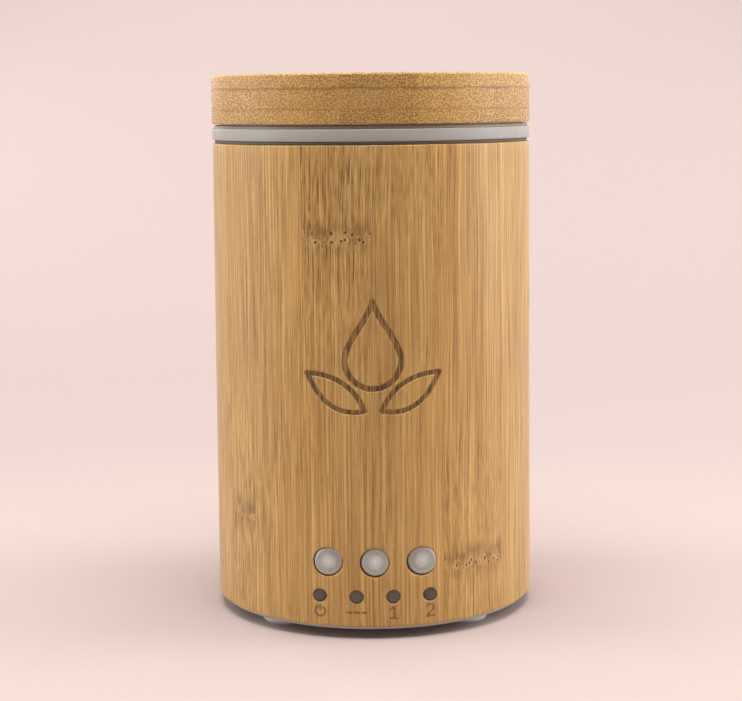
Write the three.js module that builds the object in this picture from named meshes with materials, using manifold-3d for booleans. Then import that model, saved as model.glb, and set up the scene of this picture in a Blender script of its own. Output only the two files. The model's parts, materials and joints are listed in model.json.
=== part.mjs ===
// Ultrasonic essential oil diffuser with a turned bamboo body and lid.
// Millimetres, +Z up, front faces -Y. The origin is on the resting plane, under the centre of the body.
import * as THREE from "three";
import { mergeVertices } from "three/addons/utils/BufferGeometryUtils.js";
import Module from "manifold-3d";

const wasm = await Module();
wasm.setup();

// ---------------------------------------------------------------- driving dimensions
const ROUND = 32; // facets on the large turned parts

// outline
const FOOT_DROP = 2.5; // feet stand this far below the base plate
const BODY_R = 45.0;
const BODY_BORE_R = 40.5;
const BODY_Z0 = 3.3;
const BODY_Z1 = 131.65;
const RING_R = 45.0; // frosted light ring between body and lid
const RING_Z0 = 132.55;
const RING_Z1 = 135.8;
const NECK_R = 44.4; // narrower collar on top of the ring, in the shadow gap under the lid
const NECK_Z1 = 136.6;
const LID_R = 45.15;
const LID_Z0 = 137.0;
const LID_Z1 = 150.5;
const MIST_HOLE_R = 8.9;

// front controls, all on one flat board behind the curved wall
const BUTTON_HOLE_X = [-12.4, 0, 12.4];
const BUTTON_HOLE_Z = 20.75;
const BUTTON_HOLE_R = 4.0;
const BUTTON_PLAY_X = 0.18; // the buttons sit this far off the middle of their holes
const BUTTON_PLAY_Z = 0.08;
const BUTTON_X = BUTTON_HOLE_X.map((x) => x + BUTTON_PLAY_X);
const BUTTON_Z = BUTTON_HOLE_Z + BUTTON_PLAY_Z;
const BUTTON_TIP_Y = [-42.9, -44.6, -42.9];
const BUTTON_R = 3.75;
const BUTTON_NAMES = ["left", "centre", "right"];
const LED_X = [-14.7, -4.9, 4.9, 14.7];
const LED_TIP_Y = [-41.8, -44.3, -44.3, -41.8];
const LED_Z = 11.5;
const LED_R = 1.75;
const LED_HOLE_R = 1.9;

// carved mark on the front
const MARK_Z = 76.0;
const MARK_DEPTH = 0.6;

// rear power inlet
const JACK_Z = 14.5;
const JACK_HOLE_R = 5.5;

// base
const BASE_Z0 = FOOT_DROP;
const BASE_Z1 = 5.5;
const BASE_FLANGE_R = 44.0;
const BASE_FLANGE_Z1 = 3.2;
const FOOT_R = 6.0;
const FOOT_STUD_R = 4.6; // stud on the foot's back, pressed into the base plate
const FOOT_XY = 25.0;
const POST_X = 28.5;
const POST_Y = 12.5;
const FAN_Y = 2.0; // fan centre
const FAN_SIDE = 35.0;
const FAN_Z0 = 6.0;
const FAN_Z1 = 16.0;
const FAN_HOLE = 14.5;

// water tank
const TANK_UNDER_Z = 81.2;
const DUCT_Y = 27.2; // centre of the air duct behind the tank's well
const BOARD_Z0 = 66.0;
const BOARD_Z1 = 67.6;

// ---------------------------------------------------------------- helpers
// A closed three.js geometry as a solid that can be cut and joined.
function solid(geometry) {
  const flat = geometry.index ? geometry.toNonIndexed() : geometry;
  const bare = new THREE.BufferGeometry().setAttribute("position", flat.getAttribute("position"));
  const merged = mergeVertices(bare, 1e-4);
  const kept = [];
  const index = merged.index.array;
  for (let i = 0; i < index.length; i += 3) {
    const [a, b, c] = [index[i], index[i + 1], index[i + 2]];
    if (a !== b && b !== c && a !== c) kept.push(a, b, c);
  }
  return new wasm.Manifold(
    new wasm.Mesh({
      numProp: 3,
      vertProperties: merged.attributes.position.array,
      triVerts: new Uint32Array(kept),
    }),
  );
}

function geometryOf(manifold) {
  const m = manifold.getMesh();
  const xyz = new Float32Array(m.numVert * 3);
  for (let i = 0; i < m.numVert; i++)
    xyz.set(m.vertProperties.subarray(i * m.numProp, i * m.numProp + 3), i * 3);
  const g = new THREE.BufferGeometry()
    .setAttribute("position", new THREE.BufferAttribute(xyz, 3))
    .setIndex(new THREE.BufferAttribute(new Uint32Array(m.triVerts), 1));
  g.computeVertexNormals();
  return g;
}

const join = (first, ...rest) => rest.reduce((a, b) => a.add(b), first);
const cut = (first, ...rest) => rest.reduce((a, b) => a.subtract(b), first);

// Turned solid about Z. A ring's profile closes on itself, counterclockwise with r to the right and z up.
function turned(profile, facets = ROUND) {
  const points = profile.map(([r, z]) => new THREE.Vector2(r, z));
  if (profile[0][0] > 0) points.push(points[0].clone());
  return solid(new THREE.LatheGeometry(points, facets).rotateX(Math.PI / 2));
}

// Turned solid about an axis parallel to Y, its profile given as [r, distance towards the front].
function turnedForward(profile, x, y, z, facets) {
  const points = profile.map(([r, s]) => new THREE.Vector2(r, s));
  if (profile[0][0] > 0) points.push(points[0].clone());
  return solid(
    new THREE.LatheGeometry(points, facets).rotateZ(Math.PI).translate(x, y, z),
  );
}

const upright = (r, z0, z1, x = 0, y = 0, facets = 12) =>
  solid(
    new THREE.CylinderGeometry(r, r, z1 - z0, facets)
      .rotateX(Math.PI / 2)
      .translate(x, y, (z0 + z1) / 2),
  );

const along = (r, y0, y1, x, z, facets = 12) =>
  solid(new THREE.CylinderGeometry(r, r, y1 - y0, facets).translate(x, (y0 + y1) / 2, z));

const block = (x0, x1, y0, y1, z0, z1) =>
  solid(
    new THREE.BoxGeometry(x1 - x0, y1 - y0, z1 - z0).translate(
      (x0 + x1) / 2,
      (y0 + y1) / 2,
      (z0 + z1) / 2,
    ),
  );

function roundedRectangle(width, depth, radius) {
  const w = width / 2;
  const d = depth / 2;
  const s = new THREE.Shape();
  s.moveTo(-w + radius, -d);
  s.lineTo(w - radius, -d);
  s.absarc(w - radius, -d + radius, radius, -Math.PI / 2, 0);
  s.lineTo(w, d - radius);
  s.absarc(w - radius, d - radius, radius, 0, Math.PI / 2);
  s.lineTo(-w + radius, d);
  s.absarc(-w + radius, d - radius, radius, Math.PI / 2, Math.PI);
  s.lineTo(-w, -d + radius);
  s.absarc(-w + radius, -d + radius, radius, Math.PI, 1.5 * Math.PI);
  return s;
}

const prism = (shape, z0, z1, x = 0, y = 0, curveSegments = 3) =>
  solid(
    new THREE.ExtrudeGeometry(shape, {
      depth: z1 - z0,
      bevelEnabled: false,
      curveSegments,
    }).translate(x, y, z0),
  );

// A lead of round section along a smooth curve.
function lead(points, radius, steps) {
  const path = new THREE.CatmullRomCurve3(points.map((p) => new THREE.Vector3(...p)));
  const section = new THREE.Shape();
  section.absarc(0, 0, radius, 0, 2 * Math.PI);
  return solid(
    new THREE.ExtrudeGeometry(section, {
      steps,
      curveSegments: 4,
      bevelEnabled: false,
      extrudePath: path,
    }),
  );
}

const material = (color, roughness, metalness = 0, opacity = 1) =>
  new THREE.MeshStandardMaterial({
    color,
    roughness,
    metalness,
    opacity,
    transparent: opacity < 1,
  });

const bamboo = material(0xc49860, 0.55);
const frosted = material(0xb5afaa, 0.45, 0, 0.85);
const tankPlastic = material(0xe9e8e4, 0.4, 0, 0.9);
const basePlastic = material(0x9a9087, 0.55);
const rubber = material(0x8f8880, 0.8);
const silicone = material(0x3b3834, 0.7);
const smoked = material(0x2c2823, 0.2);
const steel = material(0xb9bbbd, 0.3, 1);
const boardGreen = material(0x1f5a38, 0.5);
const blackPlastic = material(0x1c1c1e, 0.5);
const whitePlastic = material(0xe6e4df, 0.5);
const copper = material(0xa8622f, 0.35, 1);
const sleeve = material(0x20232b, 0.5);
const brass = material(0xc7a34f, 0.3, 1);
const wireSkin = material(0x2b2b2d, 0.6);
const wireWhite = material(0xd9d6d0, 0.6);

const mesh = (name, manifold, mat, parent) => {
  const m = new THREE.Mesh(geometryOf(manifold), mat);
  m.name = name;
  parent.add(m);
  return m;
};

const diffuser = new THREE.Group();
const housing = new THREE.Group();
const lid = new THREE.Group();
const controls = new THREE.Group();
const atomiser = new THREE.Group();
const airPath = new THREE.Group();
const electrics = new THREE.Group();
diffuser.add(housing, lid, controls, atomiser, airPath, electrics);

// ---------------------------------------------------------------- carved mark: a plain water drop over two leaves
function dropOutline(halfWidth, top, bottom) {
  const s = new THREE.Shape();
  const c = bottom + halfWidth; // centre of the round belly
  s.moveTo(0, top);
  s.bezierCurveTo(0.16 * halfWidth, top - 0.3 * (top - c), halfWidth, c + 0.62 * halfWidth, halfWidth, c);
  s.absarc(0, c, halfWidth, 0, -Math.PI, true);
  s.bezierCurveTo(-halfWidth, c + 0.62 * halfWidth, -0.16 * halfWidth, top - 0.3 * (top - c), 0, top);
  return s;
}

function leafOutline(side, grow) {
  // a lens between two arcs, rooted under the drop and pointing out and up
  const root = new THREE.Vector2(side * (2.2 - grow), -14.6 - 0.6 * grow);
  const tip = new THREE.Vector2(side * (17.6 + grow), -4.4 + 0.8 * grow);
  const s = new THREE.Shape();
  s.moveTo(root.x, root.y);
  s.quadraticCurveTo(side * (12.8 + grow), -16.6 - 1.2 * grow, tip.x, tip.y);
  s.quadraticCurveTo(side * (6.2 - 0.4 * grow), -4.6 + 1.2 * grow, root.x, root.y);
  return s;
}

function markCutter() {
  const deep = (shape) =>
    solid(
      new THREE.ExtrudeGeometry(shape, { depth: 8, bevelEnabled: false, curveSegments: 4 })
        .rotateX(Math.PI / 2)
        .translate(0, -38, MARK_Z),
    );
  const groove = join(
    cut(deep(dropOutline(8.3, 16.4, -9.4)), deep(dropOutline(6.6, 12.6, -7.7))),
    cut(deep(leafOutline(1, 0.7)), deep(leafOutline(1, -0.9))),
    cut(deep(leafOutline(-1, 0.7)), deep(leafOutline(-1, -0.9))),
  );
  const skin = turned([
    [BODY_R - MARK_DEPTH, 40],
    [BODY_R + 2, 40],
    [BODY_R + 2, 110],
    [BODY_R - MARK_DEPTH, 110],
  ]);
  return groove.intersect(skin);
}

// ---------------------------------------------------------------- housing
mesh(
  "bamboo_shell",
  cut(
    turned([
      [BODY_BORE_R, BODY_Z0],
      [BODY_R - 0.4, BODY_Z0],
      [BODY_R, BODY_Z0 + 0.4],
      [BODY_R, BODY_Z1 - 0.4],
      [BODY_R - 0.4, BODY_Z1],
      [BODY_BORE_R, BODY_Z1],
    ]),
    ...BUTTON_HOLE_X.map((x) => along(BUTTON_HOLE_R, -50, -30, x, BUTTON_HOLE_Z, 24)),
    ...LED_X.map((x) => along(LED_HOLE_R, -50, -30, x, LED_Z, 16)),
    along(JACK_HOLE_R, 34, 50, 0, JACK_Z, 24),
    markCutter(),
  ),
  bamboo,
  housing,
);

mesh(
  "shell_seal",
  turned([
    [40.8, BODY_Z1 + 0.05],
    [44.3, BODY_Z1 + 0.05],
    [44.3, RING_Z0 - 0.05],
    [40.8, RING_Z0 - 0.05],
  ]),
  silicone,
  housing,
);

mesh(
  "light_ring",
  turned([
    [39.6, 134.3],
    [42.6, 134.3],
    [42.6, RING_Z0],
    [RING_R - 0.3, RING_Z0],
    [RING_R, RING_Z0 + 0.3],
    [RING_R, RING_Z1 - 0.3],
    [RING_R - 0.3, RING_Z1],
    [NECK_R, RING_Z1],
    [NECK_R, NECK_Z1],
    [43.2, NECK_Z1],
    [43.2, RING_Z1],
    [39.6, RING_Z1],
  ]),
  frosted,
  housing,
);

// Cup with a well for the atomiser, a rim flange that clamps the bamboo sleeve, and an air chimney at the back.
const retainerScrews = [-15.9, 15.9];
const boardScrews = [
  [-18, -19],
  [18, 9],
];
const postPlaces = [
  [-POST_X, -POST_Y],
  [POST_X, -POST_Y],
  [-POST_X, POST_Y],
  [POST_X, POST_Y],
];
mesh(
  "water_tank",
  cut(
    join(
      turned([
        [7.5, TANK_UNDER_Z],
        [12.7, TANK_UNDER_Z],
        [12.7, 77.4],
        [14.3, 77.4],
        [14.3, TANK_UNDER_Z],
        [31.5, TANK_UNDER_Z],
        [35.2, 84.5],
        [39.2, 120.0],
        [39.2, RING_Z0],
        [42.3, RING_Z0],
        [42.3, 134.1],
        [39.2, 134.1],
        [39.2, 135.9],
        [37.2, 135.9],
        [37.2, 120.0],
        [33.4, 85.8],
        [10.0, 83.6],
        [7.5, 82.6],
      ]),
      prism(roundedRectangle(17, 10, 2.5), 76.0, 129.5, 0, DUCT_Y, 2),
      ...postPlaces.map(([x, y]) => upright(3.8, 77.5, 82.5, x, y)),
      ...boardScrews.map(([x, y]) => upright(2.6, 67.9, 82.0, x, y)),
      ...retainerScrews.map((x) => upright(2.3, 77.6, 82.0, x, 0, 10)),
    ),
    prism(roundedRectangle(13.4, 6.4, 1.6), 70, 140, 0, DUCT_Y, 1),
    ...postPlaces.map(([x, y]) => upright(1.5, 77.0, 81.5, x, y, 8)),
    ...boardScrews.map(([x, y]) => upright(1.1, 67.0, 75.0, x, y, 8)),
    ...retainerScrews.map((x) => upright(1.1, 77.0, 81.0, x, 0, 8)),
  ),
  tankPlastic,
  housing,
);

const boardSlots = [-1, 1].map((side) => {
  const [a, b] = side < 0 ? [-19.9, -16.5] : [16.5, 19.9];
  return cut(block(a, b, -29.0, -23.9, 5.0, 14.5), block(a - 1, b + 1, -27.55, -25.45, 8.6, 20));
});
const grilleSlots = [-12.5, -7.5, -2.5, 2.5, 7.5, 12.5].map((x) => {
  const half = Math.sqrt(15.2 * 15.2 - x * x);
  return block(x - 1.2, x + 1.2, FAN_Y - half, FAN_Y + half, 0, 8);
});
const fanScrewPlaces = [
  [-FAN_HOLE, FAN_Y - FAN_HOLE],
  [FAN_HOLE, FAN_Y + FAN_HOLE],
];
const footPlaces = [
  ["front_left", -FOOT_XY, -FOOT_XY],
  ["front_right", FOOT_XY, -FOOT_XY],
  ["rear_left", -FOOT_XY, FOOT_XY],
  ["rear_right", FOOT_XY, FOOT_XY],
];
mesh(
  "base_plate",
  cut(
    join(
      turned([
        [0, BASE_Z0],
        [BASE_FLANGE_R - 0.3, BASE_Z0],
        [BASE_FLANGE_R, BASE_Z0 + 0.3],
        [BASE_FLANGE_R, BASE_FLANGE_Z1],
        [40.1, BASE_FLANGE_Z1],
        [40.1, 8.5],
        [38.5, 8.5],
        [38.5, BASE_Z1],
        [0, BASE_Z1],
      ]),
      ...postPlaces.map(([x, y]) => upright(4.4, 5.0, 9.0, x, y)),
      ...fanScrewPlaces.map(([x, y]) => upright(2.8, 5.0, 5.8, x, y, 8)),
      ...boardSlots,
      block(-3, 3, 28, 35, 5.0, 9.0),
      block(-6.8, -5.0, 27, 36, 5.0, 15.0),
      block(5.0, 6.8, 27, 36, 5.0, 15.0),
    ),
    ...grilleSlots,
    ...footPlaces.map(([, x, y]) => upright(FOOT_STUD_R + 0.2, 0, 4.1, x, y, 20)),
    ...postPlaces.map(([x, y]) => upright(1.75, 0, 12, x, y, 8)),
    ...postPlaces.map(([x, y]) => upright(3.4, 0, 5.3, x, y)),
    ...fanScrewPlaces.map(([x, y]) => upright(1.5, 3.9, 8, x, y, 8)),
  ),
  basePlastic,
  housing,
);

const footSolid = turned(
  [
    [0, 0],
    [5.3, 0],
    [FOOT_R, 0.7],
    [FOOT_R, BASE_Z0 - 0.15],
    [FOOT_STUD_R, BASE_Z0 - 0.15],
    [FOOT_STUD_R, 3.9],
    [0, 3.9],
  ],
  20,
);
for (const [place, x, y] of footPlaces)
  mesh("foot_" + place, footSolid, rubber, housing).position.set(x, y, 0);

// Pan-head screw, head down at z = 0, shank up.
function screwSolid(headR, headH, shankR, length) {
  return cut(
    turned(
      [
        [0, 0],
        [headR * 0.75, 0],
        [headR, headH * 0.5],
        [headR, headH],
        [shankR, headH],
        [shankR, headH + length],
        [0, headH + length],
      ],
      8,
    ),
    block(-headR * 0.55, headR * 0.55, -0.35, 0.35, -1, headH * 0.5),
    block(-0.35, 0.35, -headR * 0.55, headR * 0.55, -1, headH * 0.5),
  );
}
const baseScrew = screwSolid(3.0, 1.8, 1.3, 13.5);
postPlaces.forEach(([x, y], i) =>
  mesh("base_screw_" + (i + 1), baseScrew, steel, housing).position.set(x, y, 3.3),
);

// Columns that tie the base plate to the tank.
const postSolid = cut(
  join(upright(3.4, 9.2, 77.3, 0, 0, 12), upright(1.2, 77.0, 81.2, 0, 0, 6)),
  upright(1.7, 8, 20.5, 0, 0, 8),
);
postPlaces.forEach(([x, y], i) =>
  mesh("standoff_post_" + (i + 1), postSolid, whitePlastic, housing).position.set(x, y, 0),
);

// ---------------------------------------------------------------- lid
const lidScrewAngles = [90, 210, 330].map((a) => (a * Math.PI) / 180);
const lidScrewPlaces = lidScrewAngles.map((a) => [24 * Math.cos(a), 24 * Math.sin(a)]);
mesh(
  "bamboo_lid",
  cut(
    turned([
      [42.9, LID_Z0],
      [LID_R - 0.4, LID_Z0],
      [LID_R, LID_Z0 + 0.4],
      [LID_R, LID_Z1 - 0.5],
      [LID_R - 0.5, LID_Z1],
      [MIST_HOLE_R + 0.6, LID_Z1],
      [MIST_HOLE_R, LID_Z1 - 0.6],
      [MIST_HOLE_R, 145.5],
      [38.2, 145.5],
      [38.2, 138.2],
      [42.9, 138.2],
    ]),
    ...lidScrewPlaces.map(([x, y]) => upright(1.45, 145, 148.9, x, y, 8)),
  ),
  bamboo,
  lid,
);

mesh(
  "lid_inner_cover",
  cut(
    turned([
      [34.9, 131.7],
      [36.7, 131.7],
      [36.7, 136.3],
      [42.5, 136.3],
      [42.5, 138.0],
      [37.6, 138.0],
      [37.3, 144.2],
      [36.6, 145.1],
      [8.5, 145.1],
      [8.5, 150.2],
      [7.1, 150.2],
      [7.1, 132.4],
      [8.5, 132.4],
      [8.5, 143.5],
      [34.8, 143.5],
      [35.3, 142.8],
    ]),
    ...lidScrewPlaces.map(([x, y]) => upright(1.5, 140, 148, x, y, 8)),
  ),
  tankPlastic,
  lid,
);
const lidScrew = screwSolid(2.6, 1.4, 1.15, 5.2);
lidScrewPlaces.forEach(([x, y], i) =>
  mesh("lid_screw_" + (i + 1), lidScrew, steel, lid).position.set(x, y, 141.9),
);

// ---------------------------------------------------------------- controls
BUTTON_X.forEach((x, i) => {
  const name = BUTTON_NAMES[i];
  const reach = -32.5 - BUTTON_TIP_Y[i];
  mesh(
    "button_" + name,
    turnedForward(
      [
        [0, 0],
        [4.6, 0],
        [4.6, 1.2],
        [BUTTON_R, 1.2],
        [BUTTON_R, reach - 0.5],
        [BUTTON_R - 0.35, reach - 0.16],
        [0, reach],
      ],
      x,
      -32.5,
      BUTTON_Z,
      16,
    ),
    frosted,
    controls,
  );
  mesh("switch_plunger_" + name, along(1.7, -32.2, -29.2, x, BUTTON_Z, 12), blackPlastic, controls);
  mesh(
    "tact_switch_" + name,
    cut(
      block(x - 3, x + 3, -31.2, -27.5, BUTTON_Z - 3, BUTTON_Z + 3),
      along(2.0, -35, -28.3, x, BUTTON_Z, 12),
    ),
    whitePlastic,
    controls,
  );
});

LED_X.forEach((x, i) => {
  const reach = -28.4 - LED_TIP_Y[i];
  mesh(
    "led_window_" + (i + 1),
    turnedForward(
      [
        [0, 0],
        [LED_R, 0],
        [LED_R, 4.4],
        [2.4, 4.4],
        [2.4, 5.4],
        [LED_R, 5.4],
        [LED_R, reach - 0.3],
        [LED_R - 0.4, reach],
        [0, reach],
      ],
      x,
      -28.4,
      LED_Z,
      10,
    ),
    smoked,
    controls,
  );
});

const guideLegs = [
  [-6.2, 26.2],
  [6.2, 26.2],
  [-9.8, 11.3],
  [9.8, 11.3],
];
mesh(
  "button_guide",
  cut(
    join(
      block(-17.4, 17.4, -35.6, -34.1, 8.9, 28.4),
      ...guideLegs.map(([x, z]) => along(1.8, -34.5, -27.6, x, z, 8)),
      ...guideLegs.map(([x, z]) => along(0.8, -28.0, -24.9, x, z, 6)),
    ),
    ...BUTTON_X.map((x) => along(4.1, -40, -30, x, BUTTON_Z, 16)),
    ...LED_X.map((x) => along(2.1, -40, -30, x, LED_Z, 10)),
  ),
  whitePlastic,
  controls,
);

mesh(
  "button_board",
  cut(
    join(
      block(-19.4, 19.4, -27.3, -25.7, 8.8, 28.8),
      ...LED_X.map((x) => block(x - 0.8, x + 0.8, -28.1, -27.0, LED_Z - 0.5, LED_Z + 0.5)),
      block(-4.5, 4.5, -26.0, -21.6, 15.5, 21.0),
    ),
    ...guideLegs.map(([x, z]) => along(1.15, -30, -24, x, z, 6)),
  ),
  boardGreen,
  controls,
);

// ---------------------------------------------------------------- atomiser under the well
mesh(
  "disc_seal",
  turned(
    [
      [8.3, 77.5],
      [12.3, 77.5],
      [12.3, 81.0],
      [8.3, 81.0],
      [8.3, 80.2],
      [10.3, 80.2],
      [10.3, 78.5],
      [8.3, 78.5],
    ],
    24,
  ),
  silicone,
  atomiser,
);
mesh("ceramic_disc", upright(10.0, 78.7, 80.0, 0, 0, 24), brass, atomiser);
mesh(
  "disc_retainer",
  cut(
    join(
      upright(13.9, 75.8, 77.2, 0, 0, 24),
      ...retainerScrews.map((x) => upright(2.6, 75.8, 77.2, x, 0, 8)),
    ),
    upright(8.2, 70, 80, 0, 0, 24),
    ...retainerScrews.map((x) => upright(1.35, 70, 80, x, 0, 8)),
  ),
  whitePlastic,
  atomiser,
);
const smallScrew = screwSolid(2.0, 1.2, 0.8, 4.2);
retainerScrews.forEach((x, i) =>
  mesh("retainer_screw_" + (i + 1), smallScrew, steel, atomiser).position.set(x, 0, 74.4),
);

// ---------------------------------------------------------------- air path
const fanBore = upright(16.2, 0, 30, 0, FAN_Y, 28);
mesh(
  "fan_frame",
  cut(
    join(
      cut(prism(roundedRectangle(FAN_SIDE, FAN_SIDE, 3), FAN_Z0, FAN_Z1, 0, FAN_Y, 2), fanBore),
      upright(6.6, FAN_Z0, 7.2, 0, FAN_Y, 16),
      ...[30, 150, 270].map((a) =>
        solid(
          new THREE.BoxGeometry(12.5, 1.8, 1.2)
            .translate(11.5, 0, FAN_Z0 + 0.6)
            .rotateZ((a * Math.PI) / 180)
            .translate(0, FAN_Y, 0),
        ),
      ),
      upright(2.4, 7.0, 13.2, 0, FAN_Y, 12),
    ),
    upright(1.3, 6.9, 20, 0, FAN_Y, 12),
    ...[-1, 1].flatMap((i) => [-1, 1].map((j) => upright(1.65, 0, 30, i * FAN_HOLE, FAN_Y + j * FAN_HOLE, 8))),
  ),
  blackPlastic,
  airPath,
);

const blade = (a) =>
  solid(
    new THREE.BoxGeometry(10, 0.9, 11)
      .rotateX((42 * Math.PI) / 180)
      .translate(11.4, 0, 11.8)
      .rotateZ((a * Math.PI) / 180)
      .translate(0, FAN_Y, 0),
  );
const sweep = cut(upright(15.4, 8.4, 15.2, 0, FAN_Y, 32), upright(7.6, 0, 30, 0, FAN_Y, 20));
mesh(
  "fan_rotor",
  join(
    cut(upright(8.0, 8.2, 15.4, 0, FAN_Y, 20), upright(6.9, 7, 14.2, 0, FAN_Y, 20)),
    join(...[0, 1, 2, 3, 4, 5, 6].map((k) => blade((k * 360) / 7))).intersect(sweep),
    upright(1.05, 7.3, 14.6, 0, FAN_Y, 12),
  ),
  blackPlastic,
  airPath,
);

// Hood over the fan and a flat tube up the back to the tank's chimney.
const tubePath = () =>
  new THREE.CatmullRomCurve3(
    [
      [0, 4, 20],
      [0, 9, 29],
      [0, 19, 38],
      [0, 25.6, 48],
      [0, DUCT_Y, 58],
      [0, DUCT_Y, 72],
    ].map((p) => new THREE.Vector3(...p)),
  );
function flatTube(width, depth, radius) {
  // the extrusion's section turns with the path's frame, so the width lies along X
  const section = roundedRectangle(depth, width, radius);
  return solid(
    new THREE.ExtrudeGeometry(section, {
      steps: 7,
      curveSegments: 1,
      bevelEnabled: false,
      extrudePath: tubePath(),
    }),
  );
}
const frustum = (half0, half1, z0, z1, dy = 0) =>
  solid(
    new THREE.CylinderGeometry(half1 * Math.SQRT2, half0 * Math.SQRT2, z1 - z0, 4)
      .rotateY(Math.PI / 4)
      .rotateX(Math.PI / 2)
      .translate(0, FAN_Y + dy, (z0 + z1) / 2),
  );
mesh(
  "air_duct",
  cut(
    join(
      prism(roundedRectangle(FAN_SIDE, FAN_SIDE, 3), 16.2, 17.8, 0, FAN_Y, 2),
      frustum(15.5, 9.4, 17.0, 27.5),
      flatTube(17, 10, 2.5),
      prism(roundedRectangle(20.6, 13.6, 3), 71.0, 79.6, 0, DUCT_Y, 2),
    ),
    upright(14.2, 15, 17.9, 0, FAN_Y, 20),
    frustum(14.0, 8.0, 17.3, 26.4),
    flatTube(13.8, 6.8, 1.6),
    prism(roundedRectangle(13.8, 6.8, 1.6), 70.0, 76.0, 0, DUCT_Y, 1),
    prism(roundedRectangle(17.6, 10.6, 2.7), 75.7, 82, 0, DUCT_Y, 2),
    ...fanScrewPlaces.map(([x, y]) => upright(1.65, 15, 19, x, y, 8)),
    ...fanScrewPlaces.map(([x, y]) => upright(2.9, 17.8, 24, x, y, 10)),
  ),
  whitePlastic,
  airPath,
);
const fanScrew = cut(
  join(upright(2.4, 18.0, 19.6, 0, 0, 10), upright(1.15, 4.3, 18.2, 0, 0, 8)),
  block(-1.4, 1.4, -0.3, 0.3, 18.9, 21),
  block(-0.3, 0.3, -1.4, 1.4, 18.9, 21),
);
fanScrewPlaces.forEach(([x, y], i) =>
  mesh("fan_screw_" + (i + 1), fanScrew, steel, airPath).position.set(x, y, 0),
);

// ---------------------------------------------------------------- electrics
mesh(
  "driver_board",
  cut(
    join(
      block(-22, 22, -24, 13, BOARD_Z0, BOARD_Z1),
      // light chips for the ring glow, soldered on the upper face
      ...[
        [-20, -10],
        [20, -10],
        [-12, 11],
        [0, -22],
      ].map(([x, y]) => block(x - 1.6, x + 1.6, y - 1.4, y + 1.4, BOARD_Z1 - 0.3, BOARD_Z1 + 1.3)),
      // plug headers on the lower face
      block(-20.5, -15.5, 4, 12, BOARD_Z0 - 5.5, BOARD_Z0 + 0.3),
      block(-5, 5, -23.5, -19, BOARD_Z0 - 5.5, BOARD_Z0 + 0.3),
      block(15.5, 21, -22, -14, BOARD_Z0 - 5.5, BOARD_Z0 + 0.3),
    ),
    ...boardScrews.map(([x, y]) => upright(1.4, 60, 70, x, y, 8)),
  ),
  boardGreen,
  electrics,
);
boardScrews.forEach(([x, y], i) =>
  mesh("board_screw_" + (i + 1), smallScrew, steel, electrics).position.set(x, y, 64.6),
);
mesh(
  "driver_inductor",
  turned(
    [
      [0, 54.4],
      [5.6, 54.4],
      [5.6, 55.8],
      [4.4, 56.2],
      [4.4, 63.9],
      [5.6, 64.3],
      [5.6, 65.7],
      [0, 65.7],
    ],
    16,
  ),
  copper,
  electrics,
).position.set(-8, -9, 0);
mesh(
  "driver_capacitor",
  turned(
    [
      [0, 53.6],
      [3.7, 53.6],
      [4.0, 54.0],
      [4.0, 65.7],
      [0, 65.7],
    ],
    16,
  ),
  sleeve,
  electrics,
).position.set(7, -10, 0);
mesh(
  "driver_chip",
  block(-5.2, 1.2, 1, 6, 64.0, 65.7),
  blackPlastic,
  electrics,
);
mesh(
  "transistor_heatsink",
  join(
    block(7, 8.4, -2, 11, 52.0, 65.7),
    ...[-1, 1.6, 4.2, 6.8, 9.4].map((y) => block(8.2, 13.0, y - 0.5, y + 0.5, 52.0, 65.7)),
  ),
  steel,
  electrics,
);
mesh(
  "power_transistor",
  block(2.6, 6.7, 0.8, 8.2, 56.5, 65.7),
  blackPlastic,
  electrics,
);
mesh(
  "dc_jack",
  join(
    cut(
      join(
        block(-4.6, 4.6, 25.5, 38.6, 9.3, 19.7),
        along(5.2, 38.0, 44.8, 0, JACK_Z, 24),
      ),
      along(2.9, 29.5, 50, 0, JACK_Z, 20),
    ),
    along(1.0, 28.0, 43.0, 0, JACK_Z, 10),
  ),
  blackPlastic,
  electrics,
);

mesh(
  "jack_lead",
  lead(
    [
      [2.0, 25.1, 17.0],
      [2.1, 23.6, 17.1],
      [5.2, 22.4, 19.5],
      [14.5, 22.5, 27],
      [22.5, 16, 36],
      [24.0, 2, 46],
      [22.6, -12, 52],
      [18.6, -17.6, 56.8],
      [18.3, -18, 60.1],
    ],
    0.95,
    13,
  ),
  wireSkin,
  electrics,
);
mesh(
  "fan_lead",
  lead(
    [
      [-18.6, 8, 11],
      [-21, 11, 14],
      [-22.5, 15, 26],
      [-22.0, 16, 42],
      [-20, 12, 52],
      [-18.1, 8.3, 57],
      [-18.0, 8.0, 60.1],
    ],
    0.75,
    11,
  ),
  wireSkin,
  electrics,
);
mesh(
  "control_lead",
  lead(
    [
      [0, -20.1, 18.2],
      [0.6, -19.0, 21.5],
      [2.5, -20.5, 30],
      [1.0, -23, 42],
      [-0.4, -22.2, 52],
      [0, -21.3, 57],
      [0, -21.2, 60.1],
    ],
    1.1,
    10,
  ),
  wireWhite,
  electrics,
);
mesh(
  "disc_lead",
  lead(
    [
      [3.0, 2.0, 78.4],
      [3.4, 1.6, 75.5],
      [6.5, -5.5, 72.8],
      [12.5, -11.5, 71.6],
      [12.8, -14.2, 70.0],
      [12.8, -15.0, 67.9],
    ],
    0.7,
    9,
  ),
  wireWhite,
  electrics,
);

export default diffuser;
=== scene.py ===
import json
import math

import bpy
import numpy as np
from mathutils import Matrix, Vector


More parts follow.
